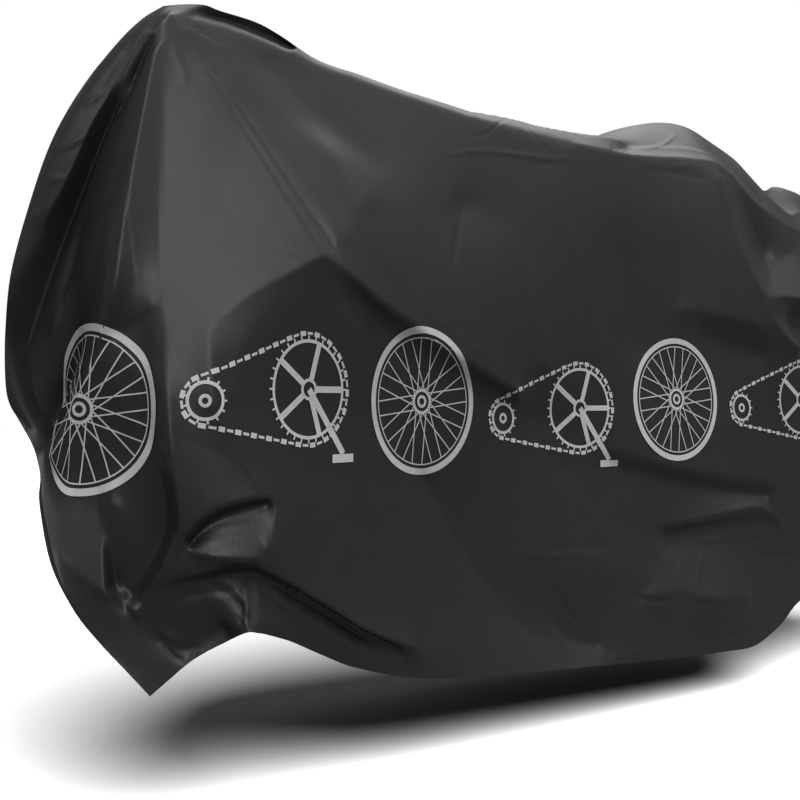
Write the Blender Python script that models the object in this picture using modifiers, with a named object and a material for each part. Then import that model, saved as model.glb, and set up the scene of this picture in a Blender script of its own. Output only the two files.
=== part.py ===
"""Bicycle cover: a waterproof film bag, open below, in the shape in which it hangs over a bicycle.

The bag is two side panels welded along one curved seam, which runs up the front, along the top and
down the rear.  Here it is one thin shell.  Each panel is lofted between that seam and its hem, and
its creases are the rows of a table: points where a ridge, a tuck or the foot of a facet lies.

Frame: X runs along the bicycle, with the front end at -X.  The near panel faces -Y.  Z is up.
Sizes are in metres.  In the tables X starts at the saddle and heights start at the ground, and the
finished shell is moved so that its origin is the point where the saddle carries it.
"""

import bpy
import math
import numpy as np
from mathutils import Vector
from mathutils.geometry import delaunay_2d_cdt

PART_NAME = "bicycle_cover"
NODE_NAME = "cover"

FILM_THICKNESS = 0.002
SADDLE_HEIGHT = 0.985           # ground to the point of the saddle that carries the cover

# The grid of each panel: quads from the hem up to the top seam, and from the front to the rear.
# The creases are worked out on the fine grid, and the shell keeps every KEEP_EVERY-th line of it.
FINE_UP = 128
FINE_ALONG = 384
KEEP_EVERY = 8

# How round a crease is: the distance from its line over which the film bends.
CRISP = 0.004
FIRM = 0.009
SOFT = 0.020
PIN_WIDTH = 0.005               # film nearer to a crease than this stays on it while it is pulled taut
TAUT_PASSES = 700
CREASE_STEPS = 4                # short straight runs between two points of a crease
CURVE_STEPS = 12                # steps in which the curve between two points of a table is measured
FACET_MARGIN = 0.010            # film this near to a facet may still be read from it
LEAST_AREA = 1e-12              # a facet smaller than this is a line, and holds no film
MERGE_DISTANCE = 1e-7           # corners of facets nearer than this are one corner

# A panel is laid out on the plane of a three-quarter view, where all of it can be seen at once.
VIEW_TURN = math.radians(36.0)
TOP_STRIP_OUT = 0.03            # cloth less far out than this counts as lying behind the ridge
TOP_STRIP_RISE = 0.8            # height that the layout gains for each metre behind that

FILM_COLOUR = (0.030, 0.031, 0.034, 1.0)
FILM_ROUGHNESS = 0.42

# Every row is (x, out, z): place along the bicycle, distance from the middle plane towards the
# panel's own side, and height above the ground.

# The welded seam, in near-panel terms: a far-panel point has the same place and the opposite out.
FRONT_SEAM = (
    (-1.138, 0.188, 0.158),
    (-1.161, 0.178, 0.187),
    (-1.187, 0.163, 0.220),
    (-1.210, 0.146, 0.256),
    (-1.227, 0.126, 0.307),
    (-1.230, 0.090, 0.375),
    (-1.224, 0.064, 0.409),
    (-1.222, 0.046, 0.429),
    (-1.222, 0.028, 0.449),
    (-1.230, 0.004, 0.479),
    (-1.242, 0.000, 0.502),
    (-1.247, 0.000, 0.531),
    (-1.247, 0.000, 0.593),
    (-1.239, 0.000, 0.669),
    (-1.212, 0.000, 0.759),
    (-1.182, 0.000, 0.839),
    (-1.137, 0.000, 0.923),
    (-1.100, 0.000, 0.975),
    (-1.065, 0.000, 1.014),
)
TOP_SEAM = (
    (-1.034, 0.000, 1.039),
    (-1.017, 0.028, 1.037),
    (-0.991, 0.036, 1.039),
    (-0.968, 0.038, 1.035),
    (-0.914, 0.038, 1.030),
    (-0.876, 0.040, 1.018),
    (-0.816, 0.045, 0.992),
    (-0.744, 0.045, 0.983),
    (-0.672, 0.045, 0.973),
    (-0.592, 0.040, 0.967),
    (-0.499, 0.025, 0.963),
    (-0.396, 0.005, 0.961),
    (-0.300, -0.045, 0.950),
    (-0.200, -0.045, 0.975),
    (-0.100, -0.050, 1.010),
    (0.000, -0.050, 1.034),
    (0.080, -0.050, 1.036),
    (0.150, -0.045, 1.013),
    (0.220, -0.040, 0.984),
    (0.290, -0.035, 0.936),
    (0.335, -0.040, 0.947),
    (0.380, -0.040, 0.946),
    (0.430, -0.035, 0.934),
    (0.520, -0.015, 0.885),
    (0.600, 0.000, 0.810),
)
REAR_SEAM = (
    (0.670, 0.000, 0.715),
    (0.720, 0.000, 0.600),
    (0.745, 0.000, 0.480),
    (0.745, 0.000, 0.370),
    (0.720, 0.000, 0.270),
    (0.670, 0.000, 0.190),
    (0.640, 0.000, 0.160),
)
NEAR_HEM = (
    (-1.119, 0.190, 0.172),
    (-1.086, 0.198, 0.197),
    (-1.050, 0.212, 0.216),
    (-1.040, 0.242, 0.230),
    (-1.024, 0.242, 0.228),
    (-0.996, 0.226, 0.219),
    (-0.959, 0.214, 0.205),
    (-0.911, 0.204, 0.182),
    (-0.848, 0.199, 0.155),
    (-0.729, 0.194, 0.125),
    (-0.552, 0.184, 0.108),
    (-0.377, 0.178, 0.096),
    (-0.206, 0.172, 0.085),
    (-0.062, 0.166, 0.078),
    (0.007, 0.160, 0.076),
    (0.060, 0.152, 0.086),
    (0.119, 0.142, 0.105),
    (0.184, 0.132, 0.136),
    (0.320, 0.110, 0.160),
    (0.450, 0.085, 0.170),
    (0.560, 0.050, 0.165),
)
FAR_HEM = (
    (-1.045, 0.000, 0.125),
    (-0.980, 0.090, 0.150),
    (-0.890, 0.140, 0.165),
    (-0.780, 0.175, 0.168),
    (-0.660, 0.200, 0.135),
    (-0.520, 0.185, 0.110),
    (-0.340, 0.210, 0.095),
    (-0.180, 0.180, 0.090),
    (-0.020, 0.185, 0.080),
    (0.140, 0.150, 0.100),
    (0.300, 0.130, 0.135),
    (0.440, 0.090, 0.155),
    (0.560, 0.045, 0.160),
)

# Creases of the near panel, each with its roundness and a line of points: a ridge, a valley, or the
# foot of a facet.
NEAR_CREASES = {
    "ridge_behind_grips": (SOFT, (
        (-1.050, 0.040, 1.020), (-0.944, 0.050, 1.013), (-0.819, 0.055, 0.987),
        (-0.683, 0.060, 0.967), (-0.557, 0.060, 0.952), (-0.430, 0.060, 0.942),
        (-0.324, 0.060, 0.934))),
    "ridge_over_saddle": (CRISP, (
        (-0.324, 0.060, 0.934), (-0.193, 0.060, 0.932), (-0.038, 0.060, 0.942),
        (0.040, 0.055, 0.947), (0.094, 0.055, 0.924), (0.155, 0.060, 0.880),
        (0.272, 0.060, 0.841), (0.400, 0.055, 0.815), (0.520, 0.040, 0.750))),
    "front_valley": (FIRM, (
        (-1.109, 0.024, 0.885), (-1.122, 0.016, 0.851), (-1.144, 0.008, 0.788), (-1.169, 0.000, 0.718),
        (-1.196, -0.010, 0.634), (-1.215, -0.014, 0.567), (-1.224, -0.014, 0.511))),
    "fin_edge": (FIRM, (
        (-1.085, 0.043, 0.982), (-1.104, 0.039, 0.945), (-1.125, 0.036, 0.901), (-1.153, 0.036, 0.849),
        (-1.180, 0.033, 0.783), (-1.203, 0.022, 0.739))),
    "fin_streak": (SOFT, (
        (-1.200, 0.007, 0.704), (-1.214, 0.007, 0.690), (-1.230, 0.004, 0.672))),
    "front_faint_ridge": (FIRM, (
        (-1.079, 0.050, 0.965), (-1.101, 0.048, 0.911), (-1.121, 0.044, 0.857), (-1.141, 0.040, 0.803),
        (-1.155, 0.036, 0.752), (-1.171, 0.029, 0.671), (-1.193, 0.022, 0.601))),
    "front_fold_edge": (CRISP, (
        (-1.079, 0.069, 0.950), (-1.113, 0.103, 0.847), (-1.136, 0.125, 0.774), (-1.155, 0.143, 0.704),
        (-1.172, 0.155, 0.631), (-1.187, 0.124, 0.543), (-1.206, 0.096, 0.474),
        (-1.216, 0.080, 0.437))),
    "tuck_behind_fold_edge": (FIRM, (
        (-1.162, 0.044, 0.582), (-1.161, 0.014, 0.535), (-1.180, 0.000, 0.473),
        (-1.204, 0.014, 0.448))),
    "front_soft_edge": (FIRM, (
        (-1.062, 0.056, 0.995), (-1.074, 0.076, 0.916), (-1.086, 0.102, 0.820), (-1.099, 0.131, 0.728),
        (-1.113, 0.166, 0.626))),
    "notch_left": (FIRM, (
        (-1.123, 0.164, 0.618), (-1.138, 0.154, 0.600), (-1.160, 0.140, 0.590))),
    "trough_right_bank": (FIRM, (
        (-1.113, 0.166, 0.626), (-1.118, 0.184, 0.571), (-1.126, 0.205, 0.506), (-1.126, 0.220, 0.436),
        (-1.116, 0.218, 0.357), (-1.132, 0.198, 0.301), (-1.145, 0.178, 0.267))),
    "front_trough": (SOFT, (
        (-1.131, 0.162, 0.572), (-1.137, 0.165, 0.506), (-1.139, 0.165, 0.458))),
    "trough_left_bank": (CRISP, (
        (-1.175, 0.122, 0.418), (-1.178, 0.132, 0.375), (-1.181, 0.150, 0.329),
        (-1.183, 0.168, 0.281))),
    "left_facet_foot": (CRISP, (
        (-1.222, 0.118, 0.327), (-1.205, 0.142, 0.306), (-1.183, 0.168, 0.281))),
    "left_facet_top": (FIRM, (
        (-1.217, 0.119, 0.331), (-1.205, 0.115, 0.361), (-1.190, 0.113, 0.391),
        (-1.175, 0.122, 0.418))),
    "front_crinkle": (CRISP, (
        (-1.155, 0.160, 0.267), (-1.154, 0.178, 0.260), (-1.143, 0.176, 0.250))),
    "front_low_crease": (CRISP, (
        (-1.143, 0.176, 0.250), (-1.131, 0.178, 0.236), (-1.121, 0.178, 0.223))),
    "ridge_to_apex": (CRISP, (
        (-1.050, 0.052, 1.011), (-1.036, 0.058, 0.991), (-1.019, 0.065, 0.966), (-1.002, 0.081, 0.930),
        (-0.974, 0.105, 0.870), (-0.951, 0.130, 0.819), (-0.929, 0.156, 0.766),
        (-0.895, 0.190, 0.694))),
    "beside_ridge_trough": (CRISP, (
        (-1.005, 0.068, 0.955), (-0.990, 0.080, 0.926), (-0.959, 0.100, 0.871), (-0.935, 0.124, 0.818),
        (-0.912, 0.146, 0.772), (-0.875, 0.176, 0.706))),
    "beside_ridge_band": (SOFT, (
        (-0.980, 0.082, 0.924), (-0.944, 0.109, 0.857), (-0.904, 0.141, 0.791),
        (-0.864, 0.176, 0.722))),
    "soft_band": (SOFT, (
        (-0.951, 0.062, 0.976), (-0.902, 0.098, 0.887), (-0.847, 0.124, 0.844),
        (-0.805, 0.148, 0.779))),
    "upper_wall_trough": (SOFT, (
        (-0.906, 0.060, 0.968), (-0.839, 0.086, 0.896), (-0.755, 0.107, 0.838))),
    "apex_left_edge": (CRISP, (
        (-0.895, 0.190, 0.694), (-0.958, 0.193, 0.663), (-1.011, 0.194, 0.635),
        (-1.065, 0.195, 0.593))),
    "column_right_edge": (FIRM, (
        (-1.065, 0.195, 0.593), (-1.069, 0.208, 0.554), (-1.071, 0.218, 0.513), (-1.060, 0.220, 0.476),
        (-1.042, 0.221, 0.450), (-1.017, 0.223, 0.419), (-0.998, 0.225, 0.389))),
    "under_apex_left_edge": (SOFT, (
        (-0.916, 0.190, 0.654), (-0.967, 0.197, 0.624), (-1.013, 0.203, 0.589), (-1.035, 0.207, 0.552),
        (-1.035, 0.213, 0.506))),
    "apex_right_edge": (CRISP, (
        (-0.895, 0.190, 0.694), (-0.852, 0.186, 0.668), (-0.805, 0.180, 0.641), (-0.742, 0.170, 0.612),
        (-0.644, 0.156, 0.569), (-0.523, 0.142, 0.520))),
    "under_apex_right_edge": (SOFT, (
        (-0.845, 0.166, 0.650), (-0.792, 0.153, 0.619), (-0.733, 0.141, 0.587), (-0.631, 0.126, 0.541),
        (-0.509, 0.113, 0.497), (-0.404, 0.108, 0.468))),
    "apex_down_ridge": (SOFT, (
        (-0.895, 0.190, 0.694), (-0.879, 0.184, 0.663), (-0.861, 0.180, 0.634),
        (-0.831, 0.174, 0.599))),
    "pocket_lip": (CRISP, (
        (-1.108, 0.216, 0.339), (-1.099, 0.226, 0.360), (-1.072, 0.232, 0.378), (-1.034, 0.234, 0.387),
        (-0.998, 0.225, 0.389))),
    "pocket_tuck": (CRISP, (
        (-1.093, 0.204, 0.339), (-1.078, 0.208, 0.354), (-1.054, 0.212, 0.367), (-1.022, 0.214, 0.375),
        (-0.997, 0.214, 0.379))),
    "pocket_right_edge": (FIRM, (
        (-0.991, 0.226, 0.377), (-0.995, 0.232, 0.348), (-1.004, 0.238, 0.328))),
    "pocket_stripe": (FIRM, (
        (-1.103, 0.214, 0.331), (-1.089, 0.232, 0.325), (-1.064, 0.242, 0.319),
        (-1.028, 0.246, 0.317))),
    "low_pleat_lip": (CRISP, (
        (-1.131, 0.192, 0.285), (-1.115, 0.206, 0.297), (-1.084, 0.220, 0.303), (-1.052, 0.232, 0.309),
        (-1.025, 0.236, 0.307), (-0.995, 0.234, 0.294), (-0.909, 0.221, 0.245), (-0.847, 0.213, 0.208),
        (-0.766, 0.202, 0.174))),
    "low_pleat_tuck": (CRISP, (
        (-1.106, 0.196, 0.287), (-1.075, 0.204, 0.292), (-1.045, 0.214, 0.298), (-1.016, 0.218, 0.298),
        (-0.987, 0.214, 0.282), (-0.899, 0.198, 0.232), (-0.837, 0.190, 0.195),
        (-0.777, 0.190, 0.167))),
    "hem_ridge_left": (CRISP, (
        (-1.022, 0.214, 0.287), (-1.033, 0.228, 0.260), (-1.041, 0.239, 0.240))),
    "hem_ridge_right": (CRISP, (
        (-1.015, 0.214, 0.286), (-1.019, 0.228, 0.259), (-1.024, 0.239, 0.238))),
    "hem_tuck": (FIRM, (
        (-1.112, 0.188, 0.221), (-1.092, 0.186, 0.207), (-1.071, 0.194, 0.221),
        (-1.049, 0.204, 0.229))),
    "pleat_end_edge": (CRISP, (
        (-0.701, 0.157, 0.271), (-0.713, 0.168, 0.228), (-0.732, 0.186, 0.175))),
    "low_wedge_edge": (FIRM, (
        (-0.690, 0.124, 0.398), (-0.649, 0.130, 0.327), (-0.592, 0.141, 0.244), (-0.524, 0.157, 0.168),
        (-0.467, 0.166, 0.136))),
    "hem_bump": (FIRM, (
        (-0.468, 0.152, 0.181), (-0.437, 0.156, 0.145), (-0.382, 0.162, 0.125))),
    "wall_fold": (FIRM, (
        (-0.466, 0.092, 0.798), (-0.455, 0.104, 0.731), (-0.439, 0.114, 0.664),
        (-0.450, 0.128, 0.562))),
    "wall_patch_top": (SOFT, (
        (-0.594, 0.096, 0.797), (-0.538, 0.095, 0.791), (-0.484, 0.094, 0.786))),
    "wall_shade_edge": (FIRM, (
        (-0.379, 0.082, 0.835), (-0.355, 0.096, 0.735), (-0.327, 0.107, 0.625),
        (-0.304, 0.111, 0.567))),
    "wall_hollow": (SOFT, (
        (-0.258, 0.080, 0.819), (-0.230, 0.090, 0.694), (-0.209, 0.098, 0.593))),
    "wall_swell": (SOFT, (
        (-0.113, 0.084, 0.832), (-0.099, 0.096, 0.753), (-0.113, 0.106, 0.682))),
    "saddle_ridge": (CRISP, (
        (0.026, 0.075, 0.915), (0.037, 0.089, 0.848), (0.061, 0.108, 0.768), (0.089, 0.121, 0.706),
        (0.127, 0.134, 0.639), (0.171, 0.141, 0.605))),
    "valley_behind_saddle_ridge": (SOFT, (
        (0.094, 0.062, 0.889), (0.140, 0.060, 0.826), (0.173, 0.060, 0.776))),
    "rear_facet_top": (FIRM, (
        (0.140, 0.098, 0.732), (0.210, 0.080, 0.774), (0.276, 0.066, 0.814))),
    "rear_facet_foot": (FIRM, (
        (0.117, 0.124, 0.700), (0.187, 0.130, 0.697), (0.289, 0.128, 0.699))),
    "rear_facet_tuck": (FIRM, (
        (0.197, 0.096, 0.664), (0.268, 0.090, 0.654), (0.368, 0.088, 0.648))),
    "drag_fold_from_saddle": (FIRM, (
        (-0.109, 0.112, 0.664), (-0.046, 0.116, 0.658), (0.013, 0.121, 0.653), (0.077, 0.128, 0.643))),
    "under_drag_fold": (SOFT, (
        (-0.056, 0.098, 0.629), (0.017, 0.100, 0.611), (0.088, 0.107, 0.597))),
    "shadow_fold_lip": (FIRM, (
        (-0.350, 0.116, 0.436), (-0.301, 0.122, 0.425), (-0.243, 0.129, 0.412), (-0.102, 0.136, 0.383),
        (0.084, 0.136, 0.361))),
    "shadow_fold_tuck": (FIRM, (
        (-0.295, 0.112, 0.403), (-0.216, 0.115, 0.386), (-0.081, 0.119, 0.358), (0.092, 0.121, 0.338))),
    "low_wrinkle_lip": (CRISP, (
        (-0.203, 0.128, 0.294), (-0.130, 0.136, 0.301), (-0.024, 0.140, 0.311), (0.056, 0.140, 0.316),
        (0.116, 0.134, 0.292))),
    "low_wrinkle_tuck": (CRISP, (
        (-0.176, 0.121, 0.282), (-0.106, 0.122, 0.285), (-0.002, 0.124, 0.291), (0.064, 0.127, 0.296),
        (0.113, 0.127, 0.279))),
    "rear_low_wrinkle": (FIRM, (
        (-0.277, 0.152, 0.197), (-0.231, 0.162, 0.193), (-0.173, 0.158, 0.192))),
    "trough_left_foot": (FIRM, (
        (-1.169, 0.152, 0.382), (-1.169, 0.146, 0.328), (-1.162, 0.140, 0.282))),
    "wall_below_edge": (SOFT, (
        (-0.733, 0.141, 0.543), (-0.628, 0.129, 0.490), (-0.510, 0.121, 0.440),
        (-0.397, 0.115, 0.403))),
    "low_pleat_under": (CRISP, (
        (-0.977, 0.218, 0.259), (-0.914, 0.210, 0.217), (-0.860, 0.203, 0.184))),
    "low_facet_line": (SOFT, (
        (-0.179, 0.124, 0.267), (-0.090, 0.126, 0.268), (0.020, 0.129, 0.270))),
    "lower_swell": (SOFT, (
        (-0.534, 0.141, 0.279), (-0.437, 0.148, 0.256), (-0.324, 0.153, 0.234))),
    "trough_right_foot": (FIRM, (
        (-1.120, 0.184, 0.411), (-1.113, 0.180, 0.356), (-1.131, 0.164, 0.303),
        (-1.146, 0.152, 0.273))),
    "strip_hollow": (CRISP, (
        (-0.982, 0.030, 1.029), (-0.946, 0.030, 1.025), (-0.915, 0.030, 1.019), (-0.883, 0.030, 1.013),
        (-0.852, 0.032, 1.004))),
    "saddle_slope": (SOFT, (
        (-0.171, 0.030, 0.947), (-0.099, 0.030, 0.958), (-0.000, 0.030, 0.968), (0.070, 0.030, 0.960),
        (0.131, 0.030, 0.932), (0.200, 0.030, 0.897))),
    "rear_low_wrinkle_2": (FIRM, (
        (-0.148, 0.162, 0.182), (-0.086, 0.166, 0.170), (-0.001, 0.158, 0.167))),
    "rear_wall_ridge": (SOFT, (
        (0.420, 0.100, 0.700), (0.450, 0.115, 0.500), (0.430, 0.110, 0.300))),
    "rear_wall_hollow": (SOFT, (
        (0.560, 0.035, 0.640), (0.580, 0.045, 0.450), (0.560, 0.050, 0.300))),
}
# Creases of the far panel: plain drapes that fall from the grips and the saddle.
FAR_CREASES = {
    "far_shoulder": (SOFT, (
        (-0.980, 0.090, 0.990), (-0.830, 0.085, 0.960), (-0.600, 0.080, 0.925),
        (-0.350, 0.080, 0.905), (-0.100, 0.085, 0.950), (0.050, 0.090, 0.975),
        (0.200, 0.085, 0.925), (0.380, 0.080, 0.880), (0.520, 0.050, 0.800))),
    "far_front_ridge": (SOFT, (
        (-1.030, 0.070, 0.940), (-1.080, 0.120, 0.700), (-1.090, 0.120, 0.450),
        (-1.050, 0.095, 0.250))),
    "far_front_valley": (SOFT, (
        (-0.980, 0.090, 0.900), (-0.985, 0.115, 0.650), (-0.985, 0.110, 0.400))),
    "far_grip_ridge": (SOFT, (
        (-0.895, 0.105, 0.910), (-0.835, 0.168, 0.600), (-0.745, 0.185, 0.250))),
    "far_valley_1": (SOFT, (
        (-0.800, 0.095, 0.870), (-0.710, 0.128, 0.600), (-0.640, 0.162, 0.280))),
    "far_ridge_2": (SOFT, (
        (-0.700, 0.098, 0.870), (-0.590, 0.142, 0.580), (-0.530, 0.182, 0.220))),
    "far_valley_2": (SOFT, (
        (-0.500, 0.090, 0.850), (-0.460, 0.125, 0.550), (-0.430, 0.165, 0.280))),
    "far_ridge_3": (SOFT, (
        (-0.290, 0.094, 0.850), (-0.335, 0.145, 0.550), (-0.370, 0.195, 0.200))),
    "far_valley_3": (SOFT, (
        (-0.130, 0.095, 0.890), (-0.205, 0.124, 0.550), (-0.250, 0.160, 0.280))),
    "far_saddle_ridge": (SOFT, (
        (0.030, 0.105, 0.930), (-0.050, 0.150, 0.600), (-0.130, 0.178, 0.220))),
    "far_valley_4": (SOFT, (
        (0.110, 0.090, 0.890), (0.090, 0.114, 0.550), (0.030, 0.148, 0.280))),
    "far_ridge_5": (SOFT, (
        (0.250, 0.094, 0.850), (0.265, 0.130, 0.520), (0.220, 0.145, 0.240))),
}


def smooth_route(points, samples):
    """Places evenly spaced along a smooth curve through the points."""
    rows = np.array(points)
    fine = []
    for index in range(len(rows) - 1):
        before = rows[max(index - 1, 0)]
        start, end = rows[index], rows[index + 1]
        after = rows[min(index + 2, len(rows) - 1)]
        for share in np.linspace(0.0, 1.0, CURVE_STEPS, endpoint=False):
            fine.append(0.5 * (2.0 * start + (end - before) * share
                               + (2.0 * before - 5.0 * start + 4.0 * end - after) * share ** 2
                               + (3.0 * start - before - 3.0 * end + after) * share ** 3))
    fine.append(rows[-1])
    fine = np.array(fine)
    steps = np.linalg.norm(np.diff(fine, axis=0), axis=1)
    travelled = np.concatenate(([0.0], np.cumsum(steps)))
    stops = np.linspace(0.0, travelled[-1], samples)
    return np.stack([np.interp(stops, travelled, fine[:, axis]) for axis in range(3)], axis=1)


def layout(points):
    """Where (x, out, z) points lie on the plane of the three-quarter view."""
    across = points[..., 0] * math.cos(VIEW_TURN) + points[..., 1] * math.sin(VIEW_TURN)
    behind = np.maximum(0.0, TOP_STRIP_OUT - points[..., 1])
    return np.stack((across, points[..., 2] + TOP_STRIP_RISE * behind), axis=-1)


def from_layout(places, out):
    """The (x, out, z) points that lie at these places of the plane, this far out."""
    x = (places[..., 0] - out * math.sin(VIEW_TURN)) / math.cos(VIEW_TURN)
    behind = np.maximum(0.0, TOP_STRIP_OUT - out)
    return np.stack((x, out, places[..., 1] - TOP_STRIP_RISE * behind), axis=-1)


def facets(outline, lines):
    """Triangles between the outline and the creases: their corners laid out, and how far out."""
    corner_of = {tuple(point): index for index, point in enumerate(outline)}
    edges = [(index, (index + 1) % len(outline)) for index in range(len(outline))]
    for line in lines:
        chain = [corner_of.setdefault(tuple(point), len(corner_of)) for point in line]
        edges += list(zip(chain[:-1], chain[1:]))
    space = np.array(list(corner_of))
    flat = layout(space)
    _, _, triangles, origins, _, _ = delaunay_2d_cdt(
        [Vector(place) for place in flat], edges, [list(range(len(outline)))], 1, MERGE_DISTANCE)
    if not all(origins):
        raise ValueError("two creases cross")
    order = np.array([origin[0] for origin in origins])
    return flat[order], space[order, 1], triangles


def out_on_facets(places, flat, out, triangles):
    """How far out the laid-out places are, each read from the facet that holds it."""
    result = np.zeros(places.shape[:-1])
    best = np.full(places.shape[:-1], -np.inf)
    for triangle in triangles:
        first, second, third = flat[triangle[0]], flat[triangle[1]], flat[triangle[2]]
        side, rise = second - first, third - first
        area = side[0] * rise[1] - side[1] * rise[0]
        if abs(area) < LEAST_AREA:
            continue
        low = np.minimum(np.minimum(first, second), third) - FACET_MARGIN
        high = np.maximum(np.maximum(first, second), third) + FACET_MARGIN
        near = np.nonzero(np.all((places > low) & (places < high), axis=-1))
        local = places[near] - first
        share_2 = (local[:, 0] * rise[1] - local[:, 1] * rise[0]) / area
        share_3 = (side[0] * local[:, 1] - side[1] * local[:, 0]) / area
        share_1 = 1.0 - share_2 - share_3
        inside = np.minimum(np.minimum(share_1, share_2), share_3)
        better = inside > best[near]
        value = share_1 * out[triangle[0]] + share_2 * out[triangle[1]] + share_3 * out[triangle[2]]
        chosen = near[0][better], near[1][better]
        result[chosen] = value[better]
        best[chosen] = inside[better]
    return result


def blend_between(left, right, bottom, top):
    """A grid of places between four boundary curves that meet at their ends."""
    down = np.linspace(0.0, 1.0, len(left))[:, None, None]
    along = np.linspace(0.0, 1.0, len(bottom))[None, :, None]
    across = left[:, None] * (1.0 - along) + right[:, None] * along
    upward = bottom[None] * (1.0 - down) + top[None] * down
    corners = (bottom[0] * (1.0 - along) * (1.0 - down) + bottom[-1] * along * (1.0 - down)
               + top[0] * (1.0 - along) * down + top[-1] * along * down)
    return across + upward - corners


def distance_to_line(places, line):
    """How far each laid-out place is from a line of laid-out points."""
    best = np.full(places.shape[:-1], np.inf)
    for start, end in zip(line[:-1], line[1:]):
        run = end - start
        share = np.clip(((places - start) @ run) / (run @ run), 0.0, 1.0)
        best = np.minimum(best, np.linalg.norm(places - start - share[..., None] * run, axis=-1))
    return best


def settle(out, freedom, passes):
    """Draw each inner place towards the mean of its neighbours, as far as its freedom allows."""
    for _ in range(passes):
        around = 0.25 * (out[:-2, 1:-1] + out[2:, 1:-1] + out[1:-1, :-2] + out[1:-1, 2:])
        out[1:-1, 1:-1] += freedom[1:-1, 1:-1] * (around - out[1:-1, 1:-1])
    return out


def panel_grid(front, top, rear, hem, creases):
    """The (x, out, z) grid of one panel, from its hem (row 0) up to the top seam (last row).

    The film first spans flat facets between the creases.  It is then pulled taut, which takes out
    every edge that isn't a crease, and at last each crease is rounded as its table row says.
    """
    outline = np.concatenate((hem[:-1], rear[:-1], top[:0:-1], front[:0:-1]))
    places = blend_between(layout(front), layout(rear), layout(hem), layout(top))
    lines = [smooth_route(points, CREASE_STEPS * (len(points) - 1) + 1)
             for _, points in creases.values()]
    out = out_on_facets(places, *facets(outline[::KEEP_EVERY // 2], lines))
    out[:, 0], out[:, -1], out[0], out[-1] = front[:, 1], rear[:, 1], hem[:, 1], top[:, 1]
    freedom = np.ones(out.shape)
    round_sum, weight_sum = np.zeros(out.shape), np.zeros(out.shape)
    for (roundness, _), line in zip(creases.values(), lines):
        distance = distance_to_line(places, layout(line))
        freedom = np.minimum(freedom, np.clip(distance / PIN_WIDTH - 1.0, 0.0, 1.0))
        weight = (distance + PIN_WIDTH) ** -4
        round_sum += weight * roundness
        weight_sum += weight
    out = settle(out, freedom, TAUT_PASSES)
    pitch = np.linalg.norm(places[1, 0] - places[0, 0])
    out = settle(out, (round_sum / weight_sum / SOFT) ** 2, round(2.0 * (SOFT / pitch) ** 2))
    grid = from_layout(places, out)
    grid[:, 0], grid[:, -1], grid[0], grid[-1] = front, rear, hem, top
    return grid


def cover_surface():
    """Both panels as fine grids in world places, sharing their seam."""
    front = smooth_route(FRONT_SEAM + TOP_SEAM[:1], FINE_UP + 1)
    top = smooth_route(TOP_SEAM, FINE_ALONG + 1)
    rear = smooth_route(REAR_SEAM[::-1] + TOP_SEAM[-1:], FINE_UP + 1)
    flip = np.array((1.0, -1.0, 1.0))
    panels = []
    for side, hem_rows, creases in ((1.0, NEAR_HEM, NEAR_CREASES), (-1.0, FAR_HEM, FAR_CREASES)):
        turn = np.array((1.0, side, 1.0))
        ends = (tuple(FRONT_SEAM[0] * turn),), (tuple(REAR_SEAM[-1] * turn),)
        hem = smooth_route(ends[0] + hem_rows + ends[1], FINE_ALONG + 1)
        grid = panel_grid(front * turn, top * turn, rear * turn, hem, creases)
        panels.append(grid * turn * flip)
    return panels


def weld_panels(near, far):
    """Corners and quads of one sheet: the near panel, and the far panel joined along the seam."""
    rows, columns = near.shape[:2]
    corners = [tuple(point) for point in near.reshape(-1, 3)]
    far_corner = {}
    for row in range(rows):
        for column in range(columns):
            if row == rows - 1 or column in (0, columns - 1):
                far_corner[row, column] = row * columns + column
            else:
                far_corner[row, column] = len(corners)
                corners.append(tuple(far[row, column]))
    quads = []
    for row in range(rows - 1):
        for column in range(columns - 1):
            here = row * columns + column
            quads.append((here, here + 1, here + columns + 1, here + columns))
            quads.append((far_corner[row, column], far_corner[row + 1, column],
                          far_corner[row + 1, column + 1], far_corner[row, column + 1]))
    return corners, quads


def film_material():
    """Dark satin film."""
    film = bpy.data.materials.new("charcoal_film")
    film.use_nodes = True
    shader = film.node_tree.nodes["Principled BSDF"]
    shader.inputs["Base Color"].default_value = FILM_COLOUR
    shader.inputs["Roughness"].default_value = FILM_ROUGHNESS
    shader.inputs["Metallic"].default_value = 0.0
    film.diffuse_color = FILM_COLOUR
    return film


def build_cover(collection):
    """The cover: the welded sheet, thickened inwards."""
    near, far = cover_surface()
    corners, quads = weld_panels(near[::KEEP_EVERY, ::KEEP_EVERY], far[::KEEP_EVERY, ::KEEP_EVERY])
    mesh = bpy.data.meshes.new(NODE_NAME)
    mesh.from_pydata([(x, y, z - SADDLE_HEIGHT) for x, y, z in corners], [], quads)
    mesh.shade_smooth()
    mesh.materials.append(film_material())
    cover = bpy.data.objects.new(NODE_NAME, mesh)
    collection.objects.link(cover)
    thickness = cover.modifiers.new("film_thickness", "SOLIDIFY")
    thickness.thickness = FILM_THICKNESS
    thickness.offset = -1.0
    return cover


def main():
    """Clear the file and build the part."""
    for old in list(bpy.data.objects):
        bpy.data.objects.remove(old, do_unlink=True)
    collection = bpy.data.collections.new(PART_NAME)
    bpy.context.scene.collection.children.link(collection)
    build_cover(collection)


main()
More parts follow.
